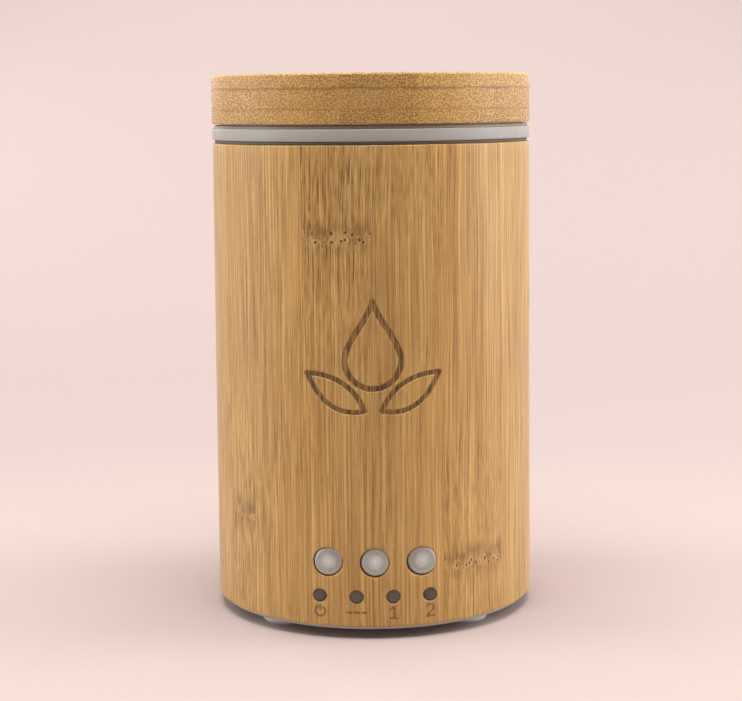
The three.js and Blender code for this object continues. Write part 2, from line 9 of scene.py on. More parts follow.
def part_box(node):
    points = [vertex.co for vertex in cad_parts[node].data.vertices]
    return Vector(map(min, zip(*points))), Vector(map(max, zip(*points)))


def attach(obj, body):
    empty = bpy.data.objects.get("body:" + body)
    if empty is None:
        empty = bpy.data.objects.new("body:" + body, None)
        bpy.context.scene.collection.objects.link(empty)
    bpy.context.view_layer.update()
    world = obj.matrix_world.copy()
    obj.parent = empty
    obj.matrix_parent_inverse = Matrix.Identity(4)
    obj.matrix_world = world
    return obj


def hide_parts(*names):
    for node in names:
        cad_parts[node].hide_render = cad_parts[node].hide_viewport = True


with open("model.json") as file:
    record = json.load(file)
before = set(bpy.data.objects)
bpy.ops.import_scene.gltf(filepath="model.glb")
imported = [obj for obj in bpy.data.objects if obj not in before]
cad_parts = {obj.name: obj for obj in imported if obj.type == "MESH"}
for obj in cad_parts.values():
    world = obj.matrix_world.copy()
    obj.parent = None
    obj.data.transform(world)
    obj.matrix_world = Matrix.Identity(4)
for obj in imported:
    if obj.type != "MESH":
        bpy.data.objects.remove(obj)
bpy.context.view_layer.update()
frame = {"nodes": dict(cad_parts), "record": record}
nodes = frame["nodes"]
MM = 0.001

# ------------------------------------------------------------------ sizes, in millimetres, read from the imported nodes


def span(node):
    lo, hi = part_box(node)
    return [v * 1000 for v in lo], [v * 1000 for v in hi]


shell_lo, shell_hi = span("bamboo_shell")
lid_lo, lid_hi = span("bamboo_lid")
ring_lo, ring_hi = span("light_ring")
R = shell_hi[1]
Z0, Z1 = shell_lo[2], shell_hi[2]
LID_R = lid_hi[1]
LID_Z0, LID_Z1 = lid_lo[2], lid_hi[2]
RING_R = ring_hi[1]
RING_Z0, RING_Z1 = ring_lo[2], ring_hi[2]
RING_H = 3.25  # height of the ring itself, without the collar on top of it


def centre(node):
    lo, hi = span(node)
    return [(a + b) / 2 for a, b in zip(lo, hi)]


SIDES = ("left", "centre", "right")
BUTTONS = [centre("button_" + s) for s in SIDES]
WINDOWS = [centre(f"led_window_{i}") for i in (1, 2, 3, 4)]
HOLE_X = [-12.4, 0.0, 12.4]
HOLE_Z = 20.75
HOLE_R = 4.0
LED_HOLE_R = 1.9
LED_Z = 11.5
JACK_Z = centre("dc_jack")[2]

# ------------------------------------------------------------------ mesh helpers


def link(name, verts, faces, angle=34):
    me = bpy.data.meshes.new(name)
    me.from_pydata([tuple(c * MM for c in v) for v in verts], [], faces)
    me.validate()
    o = bpy.data.objects.new(name, me)
    bpy.context.scene.collection.objects.link(o)
    smooth(o, angle)
    return o


def smooth(o, angle=34):
    me = o.data
    me.polygons.foreach_set("use_smooth", [True] * len(me.polygons))
    me.set_sharp_from_angle(angle=math.radians(angle))
    me.update()


def rounded(points, steps=4, closed=True):
    """A profile whose corners, given as (r, z, fillet), are replaced by arcs."""
    out = []
    n = len(points)
    for i, p in enumerate(points):
        f = p[2] if len(p) > 2 else 0
        if f <= 0 or (not closed and i in (0, n - 1)):
            out.append((p[0], p[1]))
            continue
        here = Vector(p[:2])
        a = Vector(points[i - 1][:2]) - here
        b = Vector(points[(i + 1) % n][:2]) - here
        la, lb = a.length, b.length
        a.normalize()
        b.normalize()
        half = math.acos(max(-1, min(1, a.dot(b)))) / 2
        if half > math.pi / 2 - 0.02:
            out.append(tuple(here))
            continue
        t = min(f / math.tan(half), 0.49 * la, 0.49 * lb)
        r = t * math.tan(half)
        mid = here + (a + b).normalized() * (r / math.sin(half))
        s, e = here + a * t - mid, here + b * t - mid
        a0, a1 = math.atan2(s.y, s.x), math.atan2(e.y, e.x)
        turn = (a1 - a0 + math.pi) % (2 * math.pi) - math.pi
        for k in range(steps + 1):
            w = a0 + turn * k / steps
            out.append((mid.x + r * math.cos(w), mid.y + r * math.sin(w)))
    return out


def lathe(name, profile, segs=160, place=(0, 0, 0), axis="Z", angle=34):
    """A turned solid. A profile that doesn't touch the axis closes on itself. axis "-Y" turns it towards the front."""
    poles = profile[0][0] < 1e-6
    inner = profile[1:-1] if poles else profile
    verts, faces = [], []
    for r, z in inner:
        for k in range(segs):
            t = 2 * math.pi * k / segs
            verts.append((r * math.cos(t), r * math.sin(t), z))
    rows = len(inner)
    for i in range(rows if not poles else rows - 1):
        j = (i + 1) % rows
        for k in range(segs):
            m = (k + 1) % segs
            faces.append((i * segs + k, i * segs + m, j * segs + m, j * segs + k))
    if poles:
        first, last = len(verts), len(verts) + 1
        verts += [(0, 0, profile[0][1]), (0, 0, profile[-1][1])]
        top = (rows - 1) * segs
        for k in range(segs):
            m = (k + 1) % segs
            faces.append((first, m, k))
            faces.append((last, top + k, top + m))
    if axis == "-Y":
        verts = [(x, -z, y) for x, y, z in verts]
    verts = [(x + place[0], y + place[1], z + place[2]) for x, y, z in verts]
    o = link(name, verts, faces, angle)
    outward(o)
    return o


def outward(o):
    """Turns the faces outwards if the closed mesh encloses a negative volume."""
    me = o.data
    me.calc_loop_triangles()
    co = np.zeros(len(me.vertices) * 3)
    me.vertices.foreach_get("co", co)
    co = co.reshape(-1, 3)
    tri = np.zeros(len(me.loop_triangles) * 3, int)
    me.loop_triangles.foreach_get("vertices", tri)
    a, b, c = (co[tri.reshape(-1, 3)[:, i]] for i in range(3))
    if np.einsum("ij,ij->i", a, np.cross(b, c)).sum() < 0:
        me.flip_normals()


def prism(name, outline, z0, z1, edge=0.0, angle=34):
    """An upright prism over a closed outline of (x, y), its top and bottom edges eased by edge."""
    pts = np.array(outline, float)
    nxt, prv = np.roll(pts, -1, 0), np.roll(pts, 1, 0)
    t = nxt - prv
    t /= np.linalg.norm(t, axis=1)[:, None]
    normal = np.stack([t[:, 1], -t[:, 0]], 1)
    area = (pts[:, 0] * nxt[:, 1] - nxt[:, 0] * pts[:, 1]).sum()
    if area < 0:
        normal = -normal
    rows = [(0, z0), (0, z1)]
    if edge > 0:
        bow = [(1 - math.cos(a), 1 - math.sin(a)) for a in (0, 0.4, 0.8, 1.2, math.pi / 2)]
        rows = [(edge * i, z0 + edge * u) for u, i in reversed([(b[1], b[0]) for b in bow])]
        rows = sorted(rows, key=lambda q: q[1]) + sorted(
            [(edge * b[0], z1 - edge * b[1]) for b in bow], key=lambda q: q[1]
        )
    n = len(pts)
    verts, faces = [], []
    for inset, z in rows:
        ring = pts - normal * inset
        verts += [(x, y, z) for x, y in ring]
    for i in range(len(rows) - 1):
        for k in range(n):
            m = (k + 1) % n
            faces.append((i * n + k, i * n + m, (i + 1) * n + m, (i + 1) * n + k))
    faces.append(tuple(reversed(range(n))))
    faces.append(tuple((len(rows) - 1) * n + k for k in range(n)))
    o = link(name, verts, faces, angle)
    outward(o)
    return o


def rounded_rectangle(w, d, r, x=0, y=0, steps=5):
    out = []
    for cx, cy, a0 in ((w / 2 - r, d / 2 - r, 0), (-w / 2 + r, d / 2 - r, 90), (-w / 2 + r, -d / 2 + r, 180), (w / 2 - r, -d / 2 + r, 270)):
        for k in range(steps + 1):
            a = math.radians(a0 + 90 * k / steps)
            out.append((x + cx + r * math.cos(a), y + cy + r * math.sin(a)))
    return out


def circle(r, x=0, y=0, segs=48):
    return [(x + r * math.cos(2 * math.pi * k / segs), y + r * math.sin(2 * math.pi * k / segs)) for k in range(segs)]


FORWARD = Matrix(((1, 0, 0, 0), (0, 0, -1, 0), (0, 1, 0, 0), (0, 0, 0, 1)))  # lays +Z along -Y


def forward_cylinder(name, r, y0, y1, x, z, segs=48):
    o = prism(name, circle(r, 0, 0, segs), y0, y1)
    o.data.transform(Matrix.Translation((x * MM, 0, z * MM)) @ FORWARD)
    outward(o)
    return o


def boolean(o, others, operation="DIFFERENCE", angle=34):
    """Cuts or joins meshes and keeps the result as plain mesh data."""
    for i, c in enumerate(others):
        m = o.modifiers.new(f"b{i}", "BOOLEAN")
        m.operation = operation
        m.object = c
        m.solver = "EXACT"
    dg = bpy.context.evaluated_depsgraph_get()
    me = bpy.data.meshes.new_from_object(o.evaluated_get(dg))
    o.modifiers.clear()
    old = o.data
    o.data = me
    bpy.data.meshes.remove(old)
    for c in others:
        bpy.data.objects.remove(c, do_unlink=True)
    smooth(o, angle)
    return o


def merged(objects, name):
    """One object that holds several separate meshes."""
    verts, faces, base = [], [], 0
    for o in objects:
        verts += [tuple(v.co / MM) for v in o.data.vertices]
        faces += [tuple(base + i for i in p.vertices) for p in o.data.polygons]
        base += len(o.data.vertices)
        bpy.data.objects.remove(o, do_unlink=True)
    return link(name, verts, faces)


# ------------------------------------------------------------------ material helpers


def lin(r, g, b):
    """An sRGB colour of 0..255 as linear RGBA."""
    return tuple((c / 255 / 12.92 if c <= 10.31 else ((c / 255 + 0.055) / 1.055) ** 2.4) for c in (r, g, b)) + (1.0,)


class Look:
    """A node material under construction. Sockets and plain numbers mix freely in its calls."""

    def __init__(self, name, **shader):
        self.mat = bpy.data.materials.new(name)
        self.mat.use_nodes = True
        self.tree = self.mat.node_tree
        self.tree.nodes.clear()
        self.out = self.tree.nodes.new("ShaderNodeOutputMaterial")
        self.bsdf = self.tree.nodes.new("ShaderNodeBsdfPrincipled")
        self.tree.links.new(self.bsdf.outputs[0], self.out.inputs[0])
        for k, v in shader.items():
            self.bsdf.inputs[k.replace("_", " ")].default_value = v
        coords = self.node("ShaderNodeTexCoord")
        self.p = self.scale(coords.outputs["Object"], 1000.0)  # millimetres

    def node(self, kind, **props):
        n = self.tree.nodes.new(kind)
        for k, v in props.items():
            setattr(n, k, v)
        return n

    def put(self, socket, value):
        if isinstance(value, bpy.types.NodeSocket):
            self.tree.links.new(value, socket)
        else:
            socket.default_value = value

    def m(self, op, a, b=0.0, c=0.0, clamp=False):
        n = self.node("ShaderNodeMath", operation=op, use_clamp=clamp)
        for s, v in zip(n.inputs, (a, b, c)):
            self.put(s, v)
        return n.outputs[0]

    def add(self, a, b):
        return self.m("ADD", a, b)

    def sub(self, a, b):
        return self.m("SUBTRACT", a, b)

    def mul(self, a, b):
        return self.m("MULTIPLY", a, b)

    def scale(self, v, k):
        n = self.node("ShaderNodeVectorMath", operation="SCALE")
        self.put(n.inputs[0], v)
        n.inputs["Scale"].default_value = k
        return n.outputs[0]

    def xyz(self, v):
        n = self.node("ShaderNodeSeparateXYZ")
        self.put(n.inputs[0], v)
        return n.outputs[0], n.outputs[1], n.outputs[2]

    def vec(self, x, y, z):
        n = self.node("ShaderNodeCombineXYZ")
        for s, v in zip(n.inputs, (x, y, z)):
            self.put(s, v)
        return n.outputs[0]

    def step(self, v, lo, hi, a=0.0, b=1.0, kind="SMOOTHSTEP"):
        n = self.node("ShaderNodeMapRange", interpolation_type=kind, clamp=True) if kind != "LINEAR" else self.node("ShaderNodeMapRange", clamp=True)
        for s, x in zip(n.inputs, (v, lo, hi, a, b)):
            self.put(s, x)
        return n.outputs[0]

    def noise(self, v, scale=1.0, detail=2.0, rough=0.5):
        n = self.node("ShaderNodeTexNoise")
        self.put(n.inputs["Vector"], v)
        n.inputs["Scale"].default_value = scale
        n.inputs["Detail"].default_value = detail
        n.inputs["Roughness"].default_value = rough
        return n.outputs["Fac"]

    def cells(self, v, scale=1.0, feature="F1", what="Distance", randomness=1.0):
        n = self.node("ShaderNodeTexVoronoi", feature=feature)
        self.put(n.inputs["Vector"], v)
        n.inputs["Scale"].default_value = scale
        n.inputs["Randomness"].default_value = randomness
        return n.outputs[what]

    def flat_cells(self, a, b, scale=1.0, randomness=1.0, what="Distance"):
        """Cells in the plane of a and b."""
        n = self.node("ShaderNodeTexVoronoi", voronoi_dimensions="2D")
        self.put(n.inputs["Vector"], self.vec(a, b, 0.0))
        n.inputs["Scale"].default_value = scale
        n.inputs["Randomness"].default_value = randomness
        return n.outputs[what]

    def chance(self, v):
        n = self.node("ShaderNodeTexWhiteNoise", noise_dimensions="3D")
        self.put(n.inputs["Vector"], v)
        return n.outputs["Value"]

    def mix(self, fac, a, b, blend="MIX"):
        n = self.node("ShaderNodeMix", data_type="RGBA", blend_type=blend)
        n.clamp_factor = True
        self.put(n.inputs["Factor"], fac)
        self.put(n.inputs[6], a)
        self.put(n.inputs[7], b)
        return n.outputs[2]

    def attribute(self, name):
        n = self.node("ShaderNodeAttribute", attribute_name=name)
        return n.outputs["Fac"]

    def bump(self, height, distance, strength=1.0, normal=None):
        n = self.node("ShaderNodeBump")
        n.inputs["Distance"].default_value = distance * MM
        n.inputs["Strength"].default_value = strength
        self.put(n.inputs["Height"], height)
        if normal is not None:
            self.put(n.inputs["Normal"], normal)
        return n.outputs[0]

    def wear(self):
        """1 on convex edges, where handling polishes or lightens a surface."""
        g = self.node("ShaderNodeNewGeometry")
        return self.step(g.outputs["Pointiness"], 0.52, 0.62)

    def set(self, **values):
        for k, v in values.items():
            self.put(self.bsdf.inputs[k.replace("_", " ")], v)
        return self.mat


def timber(r, g, b):
    """A wood colour from 0 to 255, leaning to honey."""
    return lin(r, g, 0.94 * b)


def bamboo(name, cut, knots, carved=False):
    """Laminated bamboo: strips side by side along X, glued in layers, and turned to shape. Solid all through.

    cut "long" has upright fibres, so a turned wall shows long grain. cut "end" has fibres along Y, so an edge
    shows end grain, dotted with vascular bundles, and the top shows long grain.
    knots are (x0, x1, v0, v1, w): the growth node of the strip between x0 and x1, between v0 and v1, at w along it.
    """
    k = Look(name, Roughness=0.5, IOR=1.47, Sheen_Weight=0.14, Sheen_Roughness=0.45)
    x, y, z = k.xyz(k.p)
    if cut == "long":
        v, w = y, z
        back = k.m("GREATER_THAN", y, 0.0)
        xs = k.sub(x, k.mul(back, 4.6))
        column, gap_x = None, None
        for e in (-32.5, -18.6, -0.4, 18.7, 34.8):
            over = k.m("GREATER_THAN", xs, e)
            column = over if column is None else k.add(column, over)
            d = k.m("ABSOLUTE", k.sub(xs, e))
            gap_x = d if gap_x is None else k.m("MINIMUM", gap_x, d)
        face = k.m("GREATER_THAN", k.m("ABSOLUTE", y), 28.5)
        raw = k.m("DIVIDE", k.add(y, 28.5), 6.3333)
        f = k.m("FRACT", raw)
        gap_y = k.mul(k.m("MINIMUM", f, k.sub(1.0, f)), 6.3333)
        level = k.mul(k.m("FLOOR", raw), k.sub(1.0, face))
        column = k.mul(k.add(column, k.mul(back, 9.0)), face)
        column = k.add(column, k.mul(k.mul(k.m("GREATER_THAN", x, 0.0), k.sub(1.0, face)), 31.0))
        gap = k.add(k.mul(gap_x, face), k.mul(gap_y, k.sub(1.0, face)))
        seam = k.step(gap, 0.20, 0.02)
    else:
        v, w = z, y
        level = k.add(k.m("GREATER_THAN", z, 140.9), k.m("GREATER_THAN", z, 146.5))
        raw = k.m("DIVIDE", k.add(k.add(x, 8.1), k.mul(level, 0.3)), 20.7)
        column = k.m("FLOOR", raw)
        f = k.m("FRACT", raw)
        gap_x = k.mul(k.m("MINIMUM", f, k.sub(1.0, f)), 20.7)
        ragged = k.mul(k.sub(k.noise(k.vec(k.mul(x, 0.7), k.mul(y, 0.05), k.mul(z, 0.4)), 1.0, 2.0), 0.5), 1.1)
        upper = k.m("ABSOLUTE", k.sub(k.add(z, ragged), 146.45))
        lower = k.m("ABSOLUTE", k.sub(k.add(z, ragged), 140.95))
        faded = k.noise(k.vec(k.mul(x, 0.11), 3.0, level), 1.0, 1.0)
        seam = k.m("MAXIMUM", k.mul(k.step(upper, 0.66, 0.05), 0.80), k.mul(k.step(lower, 0.55, 0.05), 0.34))
        seam = k.mul(seam, k.step(faded, 0.32, 0.62, 0.35, 1.0))
        seam = k.m("MAXIMUM", seam, k.mul(k.step(gap_x, 0.22, 0.0), 0.12))
    luck = k.chance(k.vec(column, level, 3.7))
    luck2 = k.chance(k.vec(level, column, 11.3))

    # growth nodes: node is the narrow ridge, around a wider belt, short the stretch of strip with short fibres
    node = around = above = short = split = None
    for x0, x1, v0, v1, at in knots:
        inside = k.mul(
            k.mul(k.m("GREATER_THAN", x, x0), k.m("LESS_THAN", x, x1)),
            k.mul(k.m("GREATER_THAN", v, v0), k.m("LESS_THAN", v, v1)),
        )
        off = k.sub(w, at)
        far = k.m("ABSOLUTE", off)
        one = [
            k.mul(inside, k.step(far, 2.3, 0.5)),
            k.mul(inside, k.step(far, 6.5, 1.0)),
            k.mul(inside, k.mul(k.step(off, -0.5, 1.6), k.step(off, 6.5, 2.4))),
            k.mul(inside, k.step(far, 46.0, 14.0)),
            k.mul(inside, k.m("GREATER_THAN", off, 0.0)),
        ]
        if node is None:
            node, around, above, short, split = one
        else:
            node, around, above, short, split = (k.m("MAXIMUM", p, q) for p, q in zip((node, around, above, short, split), one))

    # fibres wander a little along the strip, and swerve at a node
    slow = k.noise(k.vec(k.mul(x, 0.05), k.mul(v, 0.05), k.mul(w, 0.016)), 1.0, 1.0)
    drift = k.mul(k.sub(slow, 0.5), 2.6)
    curl = k.noise(k.vec(k.mul(x, 0.75), k.mul(v, 0.75), k.mul(w, 0.62)), 1.0, 1.0)
    blot = k.noise(k.vec(k.mul(x, 0.30), k.mul(v, 0.30), k.mul(w, 0.26)), 1.0, 2.0)
    bend = k.mul(k.sub(curl, 0.5), k.add(0.10, k.add(k.mul(around, 0.45), k.mul(node, 0.8))))
    jump = k.add(k.mul(luck, 37.0), k.mul(split, 5.3))
    u2 = k.add(k.add(x, jump), k.add(drift, bend))
    v2 = k.add(k.add(v, k.mul(luck2, 29.0)), k.add(drift, bend))

    def streak(across, along, detail=1.0, rough=0.5):
        return k.sub(k.noise(k.vec(k.mul(u2, across), k.mul(v2, across), k.mul(w, along)), 1.0, detail, rough), 0.5)

    hair = streak(3.3, 0.030, 1.0)
    fine = streak(1.9, 0.020, 1.0)
    lines = streak(0.85, 0.010, 1.0)
    broad = streak(0.17, 0.008, 1.0)
    dash = streak(2.1, 0.19, 1.0)
    patch = k.noise(k.vec(k.mul(u2, 0.16), k.mul(v2, 0.16), k.mul(w, 0.045)), 1.0, 1.0)
    grit = streak(5.2, 2.6, 1.0)
    bundle = k.flat_cells(u2, k.mul(v2, 0.88), 1.62 if cut == "end" else 1.2, 0.78)
    dots = k.step(bundle, 0.06, 0.56, 1.0, 0.0)

    if cut == "long":
        spread = k.add(k.add(0.35, k.mul(short, 1.15)), k.mul(k.step(patch, 0.45, 0.65), 0.35))
        calm = k.sub(1.0, k.mul(short, 0.35))
        tone = k.add(k.mul(hair, k.mul(calm, 1.7)), k.mul(fine, k.mul(calm, 1.25)))
        tone = k.add(tone, k.add(k.mul(lines, 0.55), k.mul(broad, 0.35)))
        tone = k.add(tone, k.mul(dash, k.mul(spread, 1.2)))
        tone = k.add(tone, k.mul(k.sub(patch, 0.5), 0.42))
        tone = k.add(tone, k.mul(k.sub(dots, 0.3), 0.10))
        tone = k.add(tone, k.mul(grit, 0.45))
        tone = k.add(tone, k.mul(k.sub(luck, 0.5), 0.10))
        # the strip left of the middle is darker towards its top
        front = k.mul(k.mul(k.m("GREATER_THAN", x, -18.6), k.m("LESS_THAN", x, -0.4)), k.m("LESS_THAN", y, 0.0))
        tone = k.add(tone, k.mul(front, k.step(z, 70.0, 128.0, 0.0, 0.20)))
    else:
        tone = k.add(k.mul(k.sub(dots, 0.32), 1.0), k.mul(hair, 0.30))
        tone = k.add(tone, k.add(k.mul(fine, 0.30), k.mul(lines, 0.40)))
        tone = k.add(tone, k.add(k.mul(broad, 0.4), k.mul(k.sub(luck, 0.5), 0.22)))
        front = k.mul(k.m("GREATER_THAN", x, -8.1), k.m("LESS_THAN", x, 12.6))
        tone = k.add(tone, k.mul(front, 0.17))
    shade = k.step(tone, -0.82, 0.78, 0.0, 1.0, "LINEAR")
    colour = k.mix(shade, timber(225, 181, 112), timber(134, 90, 40))
    # some strips lean redder
    colour = k.mix(k.mul(luck2, 0.22), colour, timber(181, 131, 75))
    if cut == "long":
        # thin, almost black dashes, mostly in the darkest strip
        thin = k.step(k.noise(k.vec(k.mul(u2, 2.9), k.mul(v2, 2.9), k.mul(w, 0.055)), 1.0, 0.0), 0.655, 0.705)
        where = k.add(k.add(k.mul(front, k.step(z, 84.0, 100.0, 0.0, 0.62)), 0.10), k.mul(around, 0.25))
        colour = k.mix(k.mul(thin, where), colour, timber(92, 66, 42))
        # pale straw lines
        straw = k.step(k.noise(k.vec(k.mul(u2, 2.4), k.mul(v2, 2.4), k.mul(w, 0.014)), 1.0, 0.0), 0.62, 0.70)
        colour = k.mix(k.mul(straw, 0.34), colour, timber(232, 196, 136))

    # a node: dark tissue over it, small dark pits along it and raised ripples round them, lightened as a painted
    # highlight
    side = k.add(k.mul(x, 0.48), k.mul(v, 0.30))
    up = k.mul(k.add(w, k.mul(k.sub(curl, 0.5), 1.2)), 0.42)
    pits = k.flat_cells(side, up)
    picked = k.m("GREATER_THAN", k.chance(k.flat_cells(side, up, 1.0, 1.0, "Color")), 0.45)
    pit = k.mul(k.mul(k.step(pits, 0.21, 0.10), k.step(node, 0.10, 0.45)), picked)
    ripple_and_highlight = k.mul(k.mul(k.step(pits, 0.62, 0.34), k.step(pits, 0.16, 0.26)), k.mul(node, picked))
    colour = k.mix(k.mul(k.mul(above, k.step(k.add(blot, k.mul(dash, 0.40)), 0.20, 0.75)), 0.55), colour, timber(134, 92, 48))
    # painted highlight: the ripples round the pits are lightened; the same mask also raises them in the bump
    colour = k.mix(k.mul(ripple_and_highlight, 0.42), colour, timber(226, 184, 124))
    colour = k.mix(k.mul(k.mul(around, k.step(k.add(blot, k.mul(dash, 0.35)), 0.28, 0.78)), 0.55), colour, timber(120, 80, 42))
    colour = k.mix(k.mul(pit, 0.95), colour, timber(66, 50, 36))

    # glue lines
    colour = k.mix(k.mul(seam, 0.22 if cut == "long" else 0.85), colour, timber(112, 78, 44))

    height = k.add(k.add(k.mul(hair, 0.9), k.mul(dash, 0.5)), k.mul(dots, -0.45 if cut == "end" else -0.15))
    height = k.sub(height, k.add(k.mul(seam, 0.5), k.mul(pit, 1.8)))
    height = k.add(height, k.add(k.mul(ripple_and_highlight, 0.9), k.mul(k.mul(around, curl), 0.25)))
    rough = k.add(0.47, k.mul(k.add(hair, k.mul(shade, 0.5)), 0.16))

    if carved:
        # the bottoms of cuts show browner, rougher wood, with the fibres torn darker
        deep = k.step(k.attribute("groove"), 0.35, 0.80)
        torn = k.mix(k.step(k.add(k.mul(hair, 1.9), k.mul(k.add(fine, dash), 1.2)), -0.34, 0.30), timber(176, 131, 80), timber(96, 74, 52))
        colour = k.mix(k.mul(deep, 0.94), colour, torn)
        rough = k.add(rough, k.mul(deep, 0.2))
        mark = k.step(k.attribute("burn"), 0.25, 0.70)
        colour = k.mix(k.mul(mark, 0.88), colour, k.mix(k.step(tone, -0.4, 0.5), timber(150, 108, 68), timber(106, 76, 48)))
    colour = k.mix(k.mul(k.wear(), 0.22), colour, timber(230, 196, 146))
    return k.set(Base_Color=colour, Roughness=rough, Normal=k.bump(height, 0.035, 0.5))


def plastic(name, rgb, rough=0.45, grain=1.6, depth=0.012, vary=0.06, **shader):
    """Moulded plastic or rubber: a fine spark-eroded texture, faint flow marks and lighter edges."""
    k = Look(name, **shader)
    fine = k.noise(k.p, grain, 3.0, 0.6)
    flow = k.noise(k.p, 0.09, 2.0)
    base = lin(*rgb)
    darker = tuple(c * (1 - 2.2 * vary) for c in base[:3]) + (1.0,)
    lighter = tuple(min(1.0, c * (1 + 1.6 * vary)) for c in base[:3]) + (1.0,)
    colour = k.mix(k.add(k.mul(fine, 0.45), k.mul(flow, 0.55)), darker, lighter)
    colour = k.mix(k.mul(k.wear(), 0.35), colour, tuple(min(1.0, c * 1.35 + 0.02) for c in base[:3]) + (1.0,))
    ro = k.add(rough - 0.07, k.mul(k.add(fine, flow), 0.08))
    return k.set(Base_Color=colour, Roughness=ro, Normal=k.bump(fine, depth, 0.6))


def metal(name, rgb, rough=0.3, stretch=(1, 1, 1), depth=0.004):
    k = Look(name, Metallic=1.0)
    x, y, z = k.xyz(k.p)
    v = k.vec(k.mul(x, stretch[0]), k.mul(y, stretch[1]), k.mul(z, stretch[2]))
    fine = k.noise(v, 3.0, 3.0, 0.6)
    stain = k.noise(k.p, 0.35, 2.0)
    base = lin(*rgb)
    colour = k.mix(k.mul(k.step(stain, 0.45, 0.75), 0.4), base, tuple(c * 0.72 for c in base[:3]) + (1.0,))
    ro = k.add(rough - 0.08, k.mul(k.add(fine, stain), 0.09))
    return k.set(Base_Color=colour, Roughness=ro, Normal=k.bump(fine, depth, 0.5))


def frosted(name, highlight_middles=None, rgb=(174, 173, 170), shade_above=None):
    """Frosted translucent plastic. A painted highlight pales it around each given (x, z), and painted shade darkens it
    above a given height.
    """
    k = Look(name, IOR=1.46, Subsurface_Weight=0.3, Subsurface_Scale=0.0012)
    k.bsdf.inputs["Subsurface Radius"].default_value = (1.0, 0.95, 0.9)
    fine = k.noise(k.p, 2.6, 2.0, 0.6)
    cloud = k.noise(k.p, 0.5, 2.0)
    speck = k.cells(k.p, 2.4)
    base = lin(*rgb)
    colour = k.mix(
        k.add(k.mul(fine, 0.5), k.mul(cloud, 0.5)),
        tuple(c * 0.86 for c in base[:3]) + (1.0,),
        tuple(min(1, c * 1.12) for c in base[:3]) + (1.0,),
    )
    if highlight_middles:
        x, y, z = k.xyz(k.p)
        highlight_spot = None
        for cx, cz in highlight_middles:
            dx, dz = k.sub(x, cx), k.sub(z, cz)
            d = k.m("SQRT", k.add(k.mul(dx, dx), k.mul(dz, dz)))
            d = k.add(d, k.add(k.mul(k.sub(speck, 0.4), 0.9), k.mul(k.sub(cloud, 0.5), 0.8)))
            g = k.add(k.step(d, 2.5, 1.2, 0.0, 0.55), k.step(d, 0.9, 0.1, 0.0, 0.45))
            highlight_spot = g if highlight_spot is None else k.m("MAXIMUM", highlight_spot, g)
        # painted highlight: a near-white spot round each given middle
        colour = k.mix(k.mul(highlight_spot, 0.80), colour, lin(238, 238, 236))
    if shade_above is not None:
        x, y, z = k.xyz(k.p)
        # painted shade: above the height the collar is darkened, standing in for the shadow under the lid's overhang
        colour = k.mix(k.step(z, shade_above - 0.04, shade_above + 0.04), colour, k.mix(fine, lin(146, 126, 102), lin(158, 138, 114)))
    ro = k.add(0.44, k.mul(fine, 0.16))
    return k.set(Base_Color=colour, Roughness=ro, Normal=k.bump(k.add(fine, k.mul(speck, 0.6)), 0.012, 0.5))


# ------------------------------------------------------------------ the materials

KNOTS = [
    (-18.6, -0.4, -46.0, -28.5, 107.5),  # high on the front
    (-0.4, 18.7, -46.0, -28.5, 141.0),  # just past the top edge, so only its short fibres show
    (18.7, 34.8, -46.0, -28.5, 18.8),  # low, right of the buttons
    (-46.0, -32.5, -46.0, -22.17, 30.5),  # low at the left edge
    (4.2, 23.3, 28.5, 46.0, 58.0),  # the back
    (-14.0, 4.2, 28.5, 46.0, 112.0),
    (38.0, 46.0, -9.5, -3.17, 86.0),  # the right side
    (38.0, 46.0, 9.5, 15.83, 38.0),
    (-46.0, -38.0, 3.17, 9.5, 66.0),  # the left side
]
wood_body = bamboo("bamboo_body", "long", KNOTS, carved=True)
wood_lid = bamboo("bamboo_lid", "end", [(-28.8, -8.1, 146.5, 152.0, 21.0), (12.6, 33.3, 146.5, 152.0, -14.0)])
# the collar above the ring itself gets painted shade, standing in for the lid's shadow
ring_plastic = frosted("ring_frosted", None, (168, 165, 160), RING_Z0 + RING_H - 0.02)
# the buttons get a painted highlight, a pale spot in each middle
button_plastic = frosted("button_frosted", [(b[0], b[2]) for b in BUTTONS], (180, 179, 172))
tank_plastic = plastic("tank_white", (226, 225, 220), 0.38, 1.2, 0.006, 0.03, Subsurface_Weight=0.12, Subsurface_Scale=0.001)
base_plastic = plastic("base_grey", (176, 172, 167), 0.5, 2.2, 0.02, 0.07)
# painted light: the feet are paler than their rubber, to offset the shade under the body
foot_rubber = plastic("foot_rubber", (232, 228, 220), 0.72, 2.6, 0.02, 0.07)
# dark rubber, whose colour also serves as painted shade for the gap between the ring and the body
seal_rubber = plastic("seal_rubber_and_shade", (112, 101, 88), 0.62, 1.8, 0.01, 0.1)
smoked = plastic("window_smoked", (96, 88, 73), 0.42, 0.9, 0.003, 0.06)
black_plastic = plastic("moulded_black", (34, 34, 36), 0.45, 2.0, 0.015, 0.12)
white_plastic = plastic("moulded_white", (222, 219, 212), 0.46, 1.8, 0.012, 0.04)
sleeve = plastic("capacitor_sleeve", (28, 32, 46), 0.3, 0.8, 0.004, 0.1)
wire_dark = plastic("wire_dark", (34, 34, 36), 0.42, 1.0, 0.006, 0.1)
wire_light = plastic("wire_light", (216, 210, 202), 0.42, 1.0, 0.006, 0.05)
steel = metal("screw_steel", (198, 198, 200), 0.32)
aluminium = metal("heatsink", (190, 192, 195), 0.4, (1, 1, 0.05))


